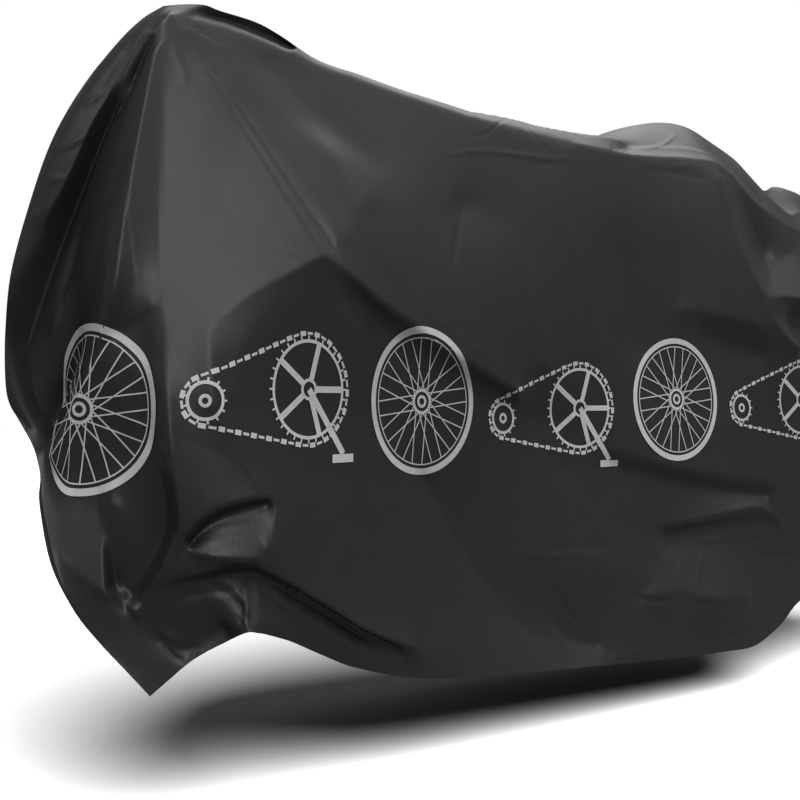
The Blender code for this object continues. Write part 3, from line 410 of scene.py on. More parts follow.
# Small wrinkles.  Each row holds the height that its line stands proud (below 0 it is pressed in),
# how far it reaches left and right of its line, and the line's points, all in metres.
NEAR_WRINKLES = {
    "fin_tick": (-0.0012, 0.005, 0.005, (
        (-1.105, 0.021, 0.967), (-1.102, 0.044, 0.948))),
    "valley_top": (-0.009, 0.012, 0.012, (
        (-1.074, 0.053, 0.980), (-1.093, 0.046, 0.932), (-1.113, 0.047, 0.888),
        (-1.124, 0.034, 0.856))),
    "fin_streak_1": (0.0016, 0.009, 0.005, (
        (-1.151, 0.023, 0.887), (-1.132, 0.037, 0.899))),
    "fin_streak_2": (-0.0012, 0.005, 0.005, (
        (-1.166, 0.012, 0.867), (-1.143, 0.035, 0.881))),
    "fin_streak_3": (0.0022, 0.01, 0.005, (
        (-1.186, 0.009, 0.821), (-1.174, 0.027, 0.829), (-1.157, 0.038, 0.841))),
    "fin_streak_4": (0.0016, 0.008, 0.004, (
        (-1.201, 0.008, 0.782), (-1.179, 0.033, 0.784))),
    "fin_streak_5": (0.0012, 0.007, 0.005, (
        (-1.217, 0.004, 0.737), (-1.205, 0.020, 0.741))),
    "strip_wrinkle": (-0.0015, 0.005, 0.005, (
        (-1.121, 0.101, 0.794), (-1.131, 0.116, 0.739), (-1.137, 0.137, 0.681),
        (-1.140, 0.155, 0.635))),
    "apex_wall_swell": (0.0025, 0.024, 0.024, (
        (-0.822, 0.151, 0.777), (-0.793, 0.161, 0.724), (-0.759, 0.165, 0.672))),
    "soft_edge_line": (0.001, 0.008, 0.008, (
        (-1.064, 0.063, 0.972), (-1.078, 0.086, 0.888), (-1.097, 0.129, 0.753),
        (-1.115, 0.177, 0.637))),
    "bright_side_streak": (0.0012, 0.006, 0.01, (
        (-1.051, 0.064, 0.971), (-1.045, 0.074, 0.944), (-1.040, 0.084, 0.914))),
    "under_ridge_hollow": (-0.0025, 0.01, 0.008, (
        (-1.028, 0.051, 1.008), (-0.999, 0.054, 0.995), (-0.962, 0.061, 0.981))),
    "pleat_gap": (-0.009, 0.003, 0.007, (
        (-0.997, 0.218, 0.296), (-0.949, 0.214, 0.268), (-0.902, 0.211, 0.238),
        (-0.840, 0.204, 0.201), (-0.780, 0.199, 0.173))),
    "ridge_tick": (-0.001, 0.004, 0.004, (
        (-0.998, 0.076, 0.942), (-0.988, 0.079, 0.933))),
    "apex_streak_1": (0.001, 0.005, 0.005, (
        (-0.971, 0.183, 0.709), (-0.935, 0.191, 0.701), (-0.911, 0.198, 0.697))),
    "apex_streak_2": (0.0008, 0.005, 0.005, (
        (-0.987, 0.186, 0.691), (-0.953, 0.197, 0.686), (-0.928, 0.200, 0.681))),
    "right_edge_streak_1": (0.0012, 0.006, 0.005, (
        (-0.718, 0.163, 0.633), (-0.644, 0.154, 0.599), (-0.575, 0.146, 0.566),
        (-0.494, 0.131, 0.523))),
    "right_edge_streak_2": (0.0008, 0.005, 0.005, (
        (-0.702, 0.159, 0.636), (-0.639, 0.148, 0.623), (-0.566, 0.137, 0.610))),
    "top_wrinkle_1": (0.0016, 0.005, 0.006, (
        (-0.621, 0.085, 0.874), (-0.548, 0.076, 0.891), (-0.478, 0.073, 0.897),
        (-0.395, 0.069, 0.899), (-0.337, 0.066, 0.907))),
    "top_wrinkle_2": (-0.0016, 0.005, 0.005, (
        (-0.558, 0.072, 0.910), (-0.410, -0.005, 0.937), (-0.386, 0.066, 0.911))),
    "top_wrinkle_3": (-0.0012, 0.004, 0.005, (
        (-0.424, 0.072, 0.887), (-0.373, 0.071, 0.889))),
    "patch_side": (-0.0015, 0.014, 0.006, (
        (-0.596, 0.099, 0.797), (-0.623, 0.118, 0.743), (-0.639, 0.131, 0.705))),
    "wall_line": (0.0012, 0.006, 0.008, (
        (-0.438, 0.096, 0.773), (-0.440, 0.115, 0.664), (-0.449, 0.127, 0.561))),
    "shade_line": (0.0015, 0.012, 0.006, (
        (-0.380, 0.083, 0.831), (-0.356, 0.097, 0.735), (-0.330, 0.108, 0.627),
        (-0.305, 0.112, 0.565))),
    "under_saddle_wrinkle_1": (-0.0014, 0.005, 0.005, (
        (-0.136, 0.065, 0.910), (-0.049, 0.069, 0.909), (0.011, 0.074, 0.906))),
    "under_saddle_wrinkle_2": (0.0012, 0.004, 0.005, (
        (-0.171, 0.063, 0.917), (-0.044, 0.065, 0.928), (0.027, 0.065, 0.933))),
    "saddle_streak": (0.0015, 0.005, 0.008, (
        (-0.237, 0.060, 0.932), (-0.114, 0.046, 0.962), (0.012, -0.011, 1.016))),
    "drag_side": (0.0015, 0.01, 0.005, (
        (-0.111, 0.107, 0.659), (-0.109, 0.107, 0.600), (-0.074, 0.113, 0.544))),
    "low_wrinkle_tail": (-0.002, 0.006, 0.006, (
        (0.108, 0.133, 0.287), (0.149, 0.131, 0.303), (0.199, 0.128, 0.321))),
    "low_wrinkle_under": (0.0016, 0.006, 0.005, (
        (-0.121, 0.126, 0.267), (-0.054, 0.129, 0.266), (0.020, 0.129, 0.270))),
    "flat_wrinkle_1": (-0.0016, 0.004, 0.004, (
        (-0.456, 0.136, 0.281), (-0.386, 0.135, 0.275), (-0.324, 0.135, 0.273))),
    "flat_wrinkle_2": (0.0014, 0.004, 0.004, (
        (-0.548, 0.137, 0.280), (-0.474, 0.138, 0.270), (-0.397, 0.139, 0.265),
        (-0.317, 0.137, 0.263))),
    "rear_upright_1": (0.0014, 0.005, 0.005, (
        (-0.089, 0.132, 0.252), (-0.116, 0.144, 0.216), (-0.135, 0.153, 0.189))),
    "rear_upright_2": (0.0012, 0.005, 0.005, (
        (-0.145, 0.134, 0.249), (-0.169, 0.148, 0.210))),
    "rear_upright_3": (0.0012, 0.005, 0.005, (
        (0.043, 0.137, 0.223), (0.037, 0.144, 0.189), (0.040, 0.148, 0.157))),
    "rear_patch_1": (-0.0022, 0.005, 0.008, (
        (-0.287, 0.150, 0.190), (-0.229, 0.156, 0.180), (-0.166, 0.156, 0.179))),
    "rear_patch_2": (-0.0024, 0.005, 0.008, (
        (-0.154, 0.157, 0.172), (-0.079, 0.160, 0.160), (0.019, 0.151, 0.156))),
    "rear_band": (-0.002, 0.004, 0.006, (
        (0.022, 0.136, 0.234), (0.107, 0.134, 0.225), (0.199, 0.128, 0.225))),
    "rear_light": (0.0018, 0.006, 0.004, (
        (-0.006, 0.138, 0.232), (0.036, 0.134, 0.245), (0.086, 0.132, 0.250))),
    "rear_low_light": (0.0016, 0.005, 0.005, (
        (-0.149, 0.163, 0.132), (-0.116, 0.161, 0.141), (-0.074, 0.161, 0.140),
        (0.019, 0.151, 0.149))),
    "rear_low_dark": (-0.0018, 0.004, 0.006, (
        (-0.159, 0.167, 0.108), (-0.079, 0.165, 0.104), (0.021, 0.156, 0.102))),
    "hem_streak_1": (0.0014, 0.004, 0.005, (
        (-0.377, 0.176, 0.102), (-0.302, 0.173, 0.107), (-0.230, 0.169, 0.109))),
    "wedge_line": (-0.0016, 0.008, 0.005, (
        (-0.467, 0.142, 0.240), (-0.424, 0.152, 0.175), (-0.379, 0.161, 0.130))),
    "wedge_spot": (0.0016, 0.005, 0.005, (
        (-0.485, 0.154, 0.162), (-0.452, 0.157, 0.145))),
    "belly_crease_1": (-0.0012, 0.004, 0.005, (
        (-0.854, 0.174, 0.427), (-0.867, 0.183, 0.382), (-0.875, 0.188, 0.357))),
    "belly_crease_2": (0.0014, 0.005, 0.004, (
        (-0.918, 0.197, 0.348), (-0.890, 0.191, 0.353), (-0.871, 0.186, 0.362))),
    "belly_crease_3": (0.0011, 0.004, 0.004, (
        (-0.859, 0.184, 0.352), (-0.863, 0.191, 0.304), (-0.859, 0.192, 0.288),
        (-0.850, 0.197, 0.245))),
    "belly_crease_4": (0.001, 0.004, 0.004, (
        (-0.860, 0.186, 0.339), (-0.844, 0.181, 0.348), (-0.824, 0.177, 0.353))),
    "belly_crease_5": (-0.0009, 0.004, 0.004, (
        (-0.854, 0.189, 0.302), (-0.812, 0.181, 0.299))),
    "belly_soft": (0.0015, 0.01, 0.014, (
        (-0.783, 0.168, 0.346), (-0.765, 0.174, 0.295), (-0.761, 0.180, 0.256))),
    "belly_crease_6": (0.001, 0.004, 0.004, (
        (-0.499, 0.122, 0.422), (-0.499, 0.127, 0.378), (-0.497, 0.131, 0.334))),
    "bank_line": (0.001, 0.004, 0.004, (
        (-1.111, 0.191, 0.425), (-1.108, 0.193, 0.388), (-1.105, 0.191, 0.352))),
    "bank_facet": (0.003, 0.005, 0.009, (
        (-1.104, 0.191, 0.347), (-1.121, 0.189, 0.302), (-1.134, 0.180, 0.279))),
    "front_curl_1": (0.0014, 0.005, 0.005, (
        (-1.214, 0.023, 0.554), (-1.198, 0.039, 0.550), (-1.192, 0.052, 0.532),
        (-1.196, 0.068, 0.511))),
    "front_curl_2": (0.0012, 0.005, 0.005, (
        (-1.242, 0.017, 0.502), (-1.227, 0.025, 0.511), (-1.213, 0.029, 0.516))),
    "column_crinkle_1": (0.0008, 0.004, 0.004, (
        (-1.062, 0.202, 0.542), (-1.056, 0.199, 0.506), (-1.056, 0.197, 0.470))),
    "column_crinkle_2": (0.0008, 0.004, 0.004, (
        (-1.035, 0.198, 0.533), (-1.033, 0.198, 0.491))),
    "column_crinkle_3": (0.0008, 0.004, 0.004, (
        (-1.013, 0.197, 0.565), (-1.009, 0.195, 0.511))),
    "column_foot_line": (0.0016, 0.005, 0.007, (
        (-1.028, 0.199, 0.445), (-1.007, 0.204, 0.414), (-0.990, 0.208, 0.385))),
    "pocket_streak_1": (0.0012, 0.005, 0.005, (
        (-1.069, 0.188, 0.350), (-1.030, 0.196, 0.355), (-0.988, 0.206, 0.356))),
    "pocket_streak_2": (-0.001, 0.004, 0.005, (
        (-1.063, 0.195, 0.342), (-1.026, 0.201, 0.339), (-0.991, 0.210, 0.343))),
    "pocket_streak_3": (0.0015, 0.006, 0.004, (
        (-1.075, 0.191, 0.337), (-1.039, 0.205, 0.331), (-0.996, 0.212, 0.331))),
    "hem_ridge_line": (0.003, 0.004, 0.006, (
        (-0.999, 0.183, 0.277), (-1.008, 0.199, 0.255), (-1.018, 0.214, 0.234))),
    "low_front_hollow": (-0.003, 0.014, 0.008, (
        (-1.111, 0.172, 0.250), (-1.089, 0.176, 0.269), (-1.051, 0.183, 0.276),
        (-1.016, 0.187, 0.276))),
    "hem_tuck_line": (-0.0025, 0.004, 0.009, (
        (-1.105, 0.164, 0.217), (-1.077, 0.161, 0.197), (-1.056, 0.172, 0.215),
        (-1.039, 0.190, 0.226))),
}

FAR_WRINKLES = {
    "far_grip_drag_1": (0.004, 0.014, 0.012, (
        (-0.930, 0.095, 0.930), (-0.800, 0.130, 0.780), (-0.660, 0.140, 0.620))),
    "far_grip_drag_2": (0.003, 0.01, 0.016, (
        (-0.950, 0.100, 0.850), (-0.860, 0.160, 0.660), (-0.780, 0.170, 0.500))),
    "far_grip_drag_3": (-0.003, 0.01, 0.012, (
        (-0.900, 0.120, 0.800), (-0.780, 0.130, 0.660), (-0.700, 0.140, 0.560))),
    "far_saddle_drag_1": (0.004, 0.014, 0.012, (
        (-0.020, 0.100, 0.930), (-0.160, 0.120, 0.780), (-0.330, 0.140, 0.620))),
    "far_saddle_drag_2": (0.003, 0.01, 0.014, (
        (0.100, 0.090, 0.900), (0.200, 0.110, 0.740), (0.300, 0.120, 0.580))),
    "far_saddle_drag_3": (-0.003, 0.01, 0.012, (
        (0.040, 0.100, 0.820), (-0.060, 0.130, 0.680), (-0.160, 0.130, 0.560))),
    "far_sag_1": (-0.0035, 0.016, 0.012, (
        (-0.720, 0.090, 0.900), (-0.500, 0.100, 0.830), (-0.280, 0.100, 0.860))),
    "far_sag_2": (-0.0025, 0.012, 0.01, (
        (-0.620, 0.100, 0.840), (-0.440, 0.110, 0.760), (-0.260, 0.110, 0.800))),
    "far_sag_3": (0.0025, 0.01, 0.014, (
        (-0.560, 0.110, 0.740), (-0.420, 0.120, 0.690), (-0.300, 0.120, 0.720))),
    "far_low_pucker_1": (0.0025, 0.01, 0.008, (
        (-0.720, 0.160, 0.240), (-0.670, 0.165, 0.340), (-0.600, 0.160, 0.430))),
    "far_low_pucker_2": (-0.0025, 0.01, 0.008, (
        (-0.420, 0.180, 0.200), (-0.460, 0.160, 0.330), (-0.540, 0.140, 0.440))),
    "far_low_pucker_3": (0.0025, 0.01, 0.008, (
        (-0.100, 0.170, 0.180), (-0.160, 0.150, 0.300), (-0.240, 0.130, 0.400))),
    "far_low_pucker_4": (0.002, 0.008, 0.01, (
        (0.220, 0.140, 0.220), (0.180, 0.120, 0.340), (0.100, 0.120, 0.430))),
    "far_rear_drag": (0.0025, 0.01, 0.01, (
        (0.360, 0.080, 0.760), (0.440, 0.090, 0.600), (0.500, 0.080, 0.440))),
    "far_front_drag": (0.0025, 0.01, 0.01, (
        (-1.060, 0.100, 0.820), (-1.120, 0.090, 0.640), (-1.150, 0.060, 0.500))),
}


def srgb_to_linear(colour: str) -> tuple[float, float, float, float]:
    """Turn an sRGB hex colour into the linear colour that a shader takes.

    Args:
        colour: Six hex digits after a hash sign.

    Returns:
        Red, green, blue and full opacity.
    """
    shares = [int(colour[start:start + 2], 16) / 255.0 for start in (1, 3, 5)]
    linear = [share / 12.92 if share <= 0.04045 else ((share + 0.055) / 1.055) ** 2.4
              for share in shares]
    return (*linear, 1.0)


def add_node(tree: bpy.types.NodeTree, kind: str, settings: dict | None = None,
             **links: bpy.types.NodeSocket) -> bpy.types.Node:
    """Add a node with its settings and links.

    Args:
        tree: The node tree that takes it.
        kind: The node's type name.
        settings: Socket values by name or index, and attributes by name with a leading dot.
        links: Output sockets by the name of the input they feed, with _ for a space.

    Returns:
        The new node.
    """
    node = tree.nodes.new(kind)
    for name, value in (settings or {}).items():
        if isinstance(name, str) and name.startswith("."):
            setattr(node, name[1:], value)
        else:
            node.inputs[name].default_value = value
    for name, source in links.items():
        tree.links.new(source, node.inputs[name.replace("_", " ")])
    return node


def start_material(name: str) -> tuple[bpy.types.Material, bpy.types.NodeTree, bpy.types.Node]:
    """Start a material.

    Args:
        name: Its name.

    Returns:
        The material, its node tree and its shader.
    """
    material = bpy.data.materials.new(name)
    material.use_nodes = True
    return material, material.node_tree, material.node_tree.nodes["Principled BSDF"]


def add_object(name: str, data: bpy.types.ID) -> bpy.types.Object:
    """Put an object into the scene.

    Args:
        name: Its name.
        data: Its mesh, light or camera.

    Returns:
        The object.
    """
    added = bpy.data.objects.new(name, data)
    bpy.context.scene.collection.objects.link(added)
    return added


def add_surface(name: str, points: list, faces: list, material: bpy.types.Material
                ) -> bpy.types.Object:
    """Put a smooth surface into the scene.

    Args:
        name: Its name.
        points: The places of its corners.
        faces: The corners of each face.
        material: What it is made of.

    Returns:
        The surface.
    """
    mesh = bpy.data.meshes.new(name)
    mesh.from_pydata(points, [], faces)
    mesh.shade_smooth()
    mesh.materials.append(material)
    return add_object(name, mesh)


def lengths_along(line: np.ndarray) -> np.ndarray:
    """How far along a line each of its points lies.

    Args:
        line: The line's points.

    Returns:
        One length for each point, starting with 0.
    """
    steps = np.linalg.norm(np.diff(line, axis=0), axis=1)
    return np.concatenate(([0.0], np.cumsum(steps)))


def smooth_route(points: Rows, shares: np.ndarray) -> np.ndarray:
    """Places along a smooth curve through the points.

    Args:
        points: The points that the curve passes.
        shares: How far along the curve each place lies, from 0 to 1.

    Returns:
        One row for each share.
    """
    rows = np.array(points)
    fine = []
    for index in range(len(rows) - 1):
        before = rows[max(index - 1, 0)]
        start, end = rows[index], rows[index + 1]
        after = rows[min(index + 2, len(rows) - 1)]
        for share in np.linspace(0.0, 1.0, CURVE_STEPS, endpoint=False):
            fine.append(0.5 * (2.0 * start + (end - before) * share
                               + (2.0 * before - 5.0 * start + 4.0 * end - after) * share ** 2
                               + (3.0 * start - before - 3.0 * end + after) * share ** 3))
    fine = np.array(fine + [rows[-1]])
    lengths = lengths_along(fine)
    stops = shares * lengths[-1]
    return np.stack([np.interp(stops, lengths, fine[:, axis]) for axis in range(3)], axis=1)


def even_shares(points: Rows, steps: int) -> np.ndarray:
    """Divide a line evenly.

    Args:
        points: The line's points.
        steps: Runs for each stretch between two of them.

    Returns:
        How far along the line each division lies, from 0 to 1.
    """
    return np.linspace(0.0, 1.0, steps * (len(points) - 1) + 1)


def layout(points: np.ndarray) -> np.ndarray:
    """Lay points out on the plane of the three-quarter view.

    Args:
        points: (x, out, z) points.

    Returns:
        Their places across and up the plane.
    """
    across = points[..., 0] * math.cos(VIEW_TURN) + points[..., 1] * math.sin(VIEW_TURN)
    behind = np.maximum(0.0, TOP_STRIP_OUT - points[..., 1])
    return np.stack((across, points[..., 2] + TOP_STRIP_RISE * behind), axis=-1)


def from_layout(places: np.ndarray, out: np.ndarray) -> np.ndarray:
    """Find the points that lie at laid-out places.

    Args:
        places: The laid-out places.
        out: How far out each point is.

    Returns:
        Their (x, out, z) points.
    """
    x = (places[..., 0] - out * math.sin(VIEW_TURN)) / math.cos(VIEW_TURN)
    behind = np.maximum(0.0, TOP_STRIP_OUT - out)
    return np.stack((x, out, places[..., 1] - TOP_STRIP_RISE * behind), axis=-1)


def nearest_on_line(places: np.ndarray, line: np.ndarray
                    ) -> tuple[np.ndarray, np.ndarray, np.ndarray]:
    """Where laid-out places lie by a line of laid-out points.

    Args:
        places: The laid-out places.
        line: The line's laid-out points.

    Returns:
        The distance from the line, how far along it the nearest point lies, from 0 to 1, and
        whether the place is left of it.
    """
    best = np.full(places.shape[:-1], np.inf)
    along = np.zeros(places.shape[:-1])
    left = np.zeros(places.shape[:-1], dtype=bool)
    lengths = lengths_along(line)
    for index, (start, end) in enumerate(zip(line[:-1], line[1:])):
        run = end - start
        away = places - start
        share = np.clip((away @ run) / (run @ run), 0.0, 1.0)
        gap = np.linalg.norm(away - share[..., None] * run, axis=-1)
        nearer = gap < best
        best = np.where(nearer, gap, best)
        reached = lengths[index] + share * (lengths[index + 1] - lengths[index])
        along = np.where(nearer, reached / lengths[-1], along)
        left = np.where(nearer, run[0] * away[..., 1] > run[1] * away[..., 0], left)
    return best, along, left


@dataclass(frozen=True)
class TautPanel:
    """One side panel of the bag, drawn taut between its creases.

    Attributes:
        front: Seam points up the front, from the hem to the top.
        top: Seam points from the front to the rear.
        rear: Seam points up the rear.
        hem: Hem points from the front to the rear.
        creases: Roundness and points of each crease.
        pin_width: Film nearer to a crease than this stays on it while it is pulled taut.
        taut_passes: How often the film is drawn towards its neighbours.
        crease_steps: Short straight runs between two points of a crease.
        falloff: How sharply a crease's roundness gives way to that of the next one.
        wrinkle_steps: Short straight runs between two points of a small wrinkle.
        wrinkle_fade: How soon a small wrinkle dies away at its ends; the less, the later.
        outline_every: Edge points for each one that the facets' outline takes.
        facet_margin: Film this near to a facet may still be read from it.
        least_area: A facet smaller than this is a line, and holds no film.
        merge_distance: Corners of facets nearer than this are one corner.
    """

    front: np.ndarray
    top: np.ndarray
    rear: np.ndarray
    hem: np.ndarray
    creases: Creases
    pin_width: float = 0.005
    taut_passes: int = 900
    crease_steps: int = 4
    falloff: float = 4.0
    wrinkle_steps: int = 5
    wrinkle_fade: float = 0.6
    outline_every: int = 4
    facet_margin: float = 0.01
    least_area: float = 1e-12
    merge_distance: float = 1e-7

    def places(self) -> np.ndarray:
        """Blend the four edges into a grid.

        Returns:
            Laid-out places of the grid, from the hem (row 0) up to the top seam.
        """
        left, right = layout(self.front), layout(self.rear)
        bottom, top = layout(self.hem), layout(self.top)
        up = np.linspace(0.0, 1.0, len(left))[:, None, None]
        lengths = lengths_along(bottom)
        along = (lengths / lengths[-1])[None, :, None]
        across = left[:, None] * (1.0 - along) + right[:, None] * along
        upward = bottom[None] * (1.0 - up) + top[None] * up
        corners = (bottom[0] * (1.0 - along) * (1.0 - up) + bottom[-1] * along * (1.0 - up)
                   + top[0] * (1.0 - along) * up + top[-1] * along * up)
        return across + upward - corners

    def facets(self, lines: list[np.ndarray]) -> tuple[np.ndarray, np.ndarray, list]:
        """Span flat facets between the outline and the creases.

        Args:
            lines: The creases' points.

        Returns:
            The facets' corners laid out, how far out each is, and the triangles.
        """
        edge = np.concatenate((self.hem[:-1], self.rear[:-1], self.top[:0:-1], self.front[:0:-1]))
        outline = edge[::self.outline_every]
        corner_of = {tuple(point): index for index, point in enumerate(outline)}
        edges = [(index, (index + 1) % len(outline)) for index in range(len(outline))]
        for line in lines:
            chain = [corner_of.setdefault(tuple(point), len(corner_of)) for point in line]
            edges += list(zip(chain[:-1], chain[1:]))
        space = np.array(list(corner_of))
        flat = layout(space)
        _, _, triangles, origins, _, _ = delaunay_2d_cdt(
            [Vector(place) for place in flat], edges, [list(range(len(outline)))], 1,
            self.merge_distance)
        if not all(origins):
            raise ValueError("two creases cross")
        order = np.array([origin[0] for origin in origins])
        return flat[order], space[order, 1], triangles

    def out_on_facets(self, places: np.ndarray, flat: np.ndarray, out: np.ndarray,
                      triangles: list) -> np.ndarray:
        """Read how far out laid-out places are from the facets that hold them.

        Args:
            places: The laid-out places.
            flat: The facets' corners laid out.
            out: How far out the corners are.
            triangles: Three corners for each facet.

        Returns:
            One distance for each place.
        """
        result = np.zeros(places.shape[:-1])
        best = np.full(places.shape[:-1], -np.inf)
        for triangle in triangles:
            first, second, third = (flat[corner] for corner in triangle)
            side, rise = second - first, third - first
            area = side[0] * rise[1] - side[1] * rise[0]
            if abs(area) < self.least_area:
                continue
            low = np.minimum(np.minimum(first, second), third) - self.facet_margin
            high = np.maximum(np.maximum(first, second), third) + self.facet_margin
            near = np.nonzero(np.all((places > low) & (places < high), axis=-1))
            local = places[near] - first
            share_2 = (local[:, 0] * rise[1] - local[:, 1] * rise[0]) / area
            share_3 = (side[0] * local[:, 1] - side[1] * local[:, 0]) / area
            share_1 = 1.0 - share_2 - share_3
            inside = np.minimum(np.minimum(share_1, share_2), share_3)
            better = inside > best[near]
            value = (share_1 * out[triangle[0]] + share_2 * out[triangle[1]]
                     + share_3 * out[triangle[2]])
            chosen = near[0][better], near[1][better]
            result[chosen] = value[better]
            best[chosen] = inside[better]
        return result

    @staticmethod
    def settle(out: np.ndarray, freedom: np.ndarray, passes: int) -> None:
        """Draw each inner place towards the mean of its neighbours.

        Args:
            out: How far out the places are, which this changes.
            freedom: How far each place may follow, from 0 to 1.
            passes: How often it is drawn.
        """
        for _ in range(passes):
            around = 0.25 * (out[:-2, 1:-1] + out[2:, 1:-1] + out[1:-1, :-2] + out[1:-1, 2:])
            out[1:-1, 1:-1] += freedom[1:-1, 1:-1] * (around - out[1:-1, 1:-1])

    def grid(self, wrinkles: Wrinkles) -> np.ndarray:
        """Shape the panel's film.

        Args:
            wrinkles: Small wrinkles to press in once the film is taut.

        Returns:
            (x, out, z) points in a grid, from the hem (row 0) up to the top seam.
        """
        places = self.places()
        lines = [smooth_route(points, even_shares(points, self.crease_steps))
                 for _, points in self.creases.values()]
        out = self.out_on_facets(places, *self.facets(lines))
        out[:, 0], out[:, -1] = self.front[:, 1], self.rear[:, 1]
        out[0], out[-1] = self.hem[:, 1], self.top[:, 1]
        freedom = np.ones(out.shape)
        round_sum, weight_sum = np.zeros(out.shape), np.zeros(out.shape)
        for (roundness, _), line in zip(self.creases.values(), lines):
            distance, _, _ = nearest_on_line(places, layout(line))
            freedom = np.minimum(freedom, np.clip(distance / self.pin_width - 1.0, 0.0, 1.0))
            weight = (distance + self.pin_width) ** -self.falloff
            round_sum += weight * roundness.value
            weight_sum += weight
        self.settle(out, freedom, self.taut_passes)
        pitch = np.linalg.norm(places[1, 0] - places[0, 0])
        softness = (round_sum / weight_sum / SOFT.value) ** 2
        rounding_passes = round(2.0 * (SOFT.value / pitch) ** 2)
        self.settle(out, softness, rounding_passes)
        for wrinkle in wrinkles.values():
            self.press(places, out, *wrinkle)
        grid = from_layout(places, out)
        grid[:, 0], grid[:, -1], grid[0], grid[-1] = self.front, self.rear, self.hem, self.top
        return grid

    def press(self, places: np.ndarray, out: np.ndarray, height: float, left: float,
              right: float, points: Rows) -> None:
        """Press one small wrinkle into the panel.

        Args:
            places: The laid-out places.
            out: How far out they are, which this changes.
            height: How far the wrinkle's line stands proud.
            left: How far the wrinkle reaches left of its line.
            right: How far it reaches right of its line.
            points: Its line.
        """
        line = layout(smooth_route(points, even_shares(points, self.wrinkle_steps)))
        reach = max(left, right)
        near = np.nonzero(np.all((places > line.min(axis=0) - reach)
                                 & (places < line.max(axis=0) + reach), axis=-1))
        distance, along, is_left = nearest_on_line(places[near], line)
        fade = np.clip(1.0 - distance / np.where(is_left, left, right), 0.0, 1.0) ** 2
        out[near] += height * fade * np.sin(math.pi * along) ** self.wrinkle_fade


@dataclass(frozen=True)
class CharcoalFilm:
    """Soft PEVA film, calendered: a satin skin that shows a broad, dim highlight on each fold.

    Attributes:
        colour: Charcoal, a little blue.
        crumple_shade_spread: Painted shade and light on the crumples, as a share: the colour is
            darker in each crumple's hollow and lighter on its crest.
        roughness: Satin.
        roughness_spread: How much rougher or glossier a crumple is.
        specular: Reflection head on, with 0.5 for the plastic's usual index of refraction.
        crumple_mm: Size of the slight crumples that handling leaves.
        crumple_depth_mm: Their depth.
        grain_mm: Grain of the calender roll, drawn coarser than the real 0.3 mm so that it shows.
        grain_depth_mm: Its depth.
    """

    colour: str = "#2B2C2F"
    crumple_shade_spread: float = 0.1
    roughness: float = 0.42
    roughness_spread: float = 0.05
    specular: float = 0.5
    crumple_mm: float = 34.0
    crumple_depth_mm: float = 0.5
    grain_mm: float = 1.6
    grain_depth_mm: float = 0.02

    def material(self) -> bpy.types.Material:
        """Build the film's material.

        Returns:
            The material.
        """
        film, tree, shader = start_material("charcoal_peva_film")
        shader.inputs["Specular IOR Level"].default_value = self.specular
        shader.inputs["Metallic"].default_value = 0.0
        place = add_node(tree, "ShaderNodeTexCoord").outputs["Object"]
        crumple = add_node(tree, "ShaderNodeTexNoise", {
            "Scale": 1000.0 / self.crumple_mm, "Detail": 3.0, "Roughness": 0.55,
            "Distortion": 0.4}, Vector=place)
        grain = add_node(tree, "ShaderNodeTexNoise", {
            "Scale": 1000.0 / self.grain_mm, "Detail": 1.0}, Vector=place)
        red, green, blue, opacity = srgb_to_linear(self.colour)
        # Painted shade and light: the colour follows the crumple noise that also drives the bump,
        # so it is darker in each crumple's hollow and lighter on its crest.
        darker, lighter = 1.0 - self.crumple_shade_spread, 1.0 + self.crumple_shade_spread
        painted_crumple_shade = add_node(tree, "ShaderNodeMix", {
            ".data_type": "RGBA",
            MIX_FIRST: (darker * red, darker * green, darker * blue, opacity),
            MIX_SECOND: (lighter * red, lighter * green, lighter * blue, opacity)})
        tree.links.new(crumple.outputs["Fac"], painted_crumple_shade.inputs[MIX_SHARE])
        tree.links.new(painted_crumple_shade.outputs[MIX_RESULT], shader.inputs["Base Color"])
        gloss = add_node(tree, "ShaderNodeMapRange", {
            "To Min": self.roughness - self.roughness_spread,
            "To Max": self.roughness + self.roughness_spread}, Value=crumple.outputs["Fac"])
        tree.links.new(gloss.outputs["Result"], shader.inputs["Roughness"])
        coarse = add_node(tree, "ShaderNodeBump", {
            "Strength": 1.0, "Distance": self.crumple_depth_mm / 1000.0},
            Height=crumple.outputs["Fac"])
        fine = add_node(tree, "ShaderNodeBump", {
            "Strength": 1.0, "Distance": self.grain_depth_mm / 1000.0},
            Height=grain.outputs["Fac"], Normal=coarse.outputs["Normal"])
        tree.links.new(fine.outputs["Normal"], shader.inputs["Normal"])
        return film


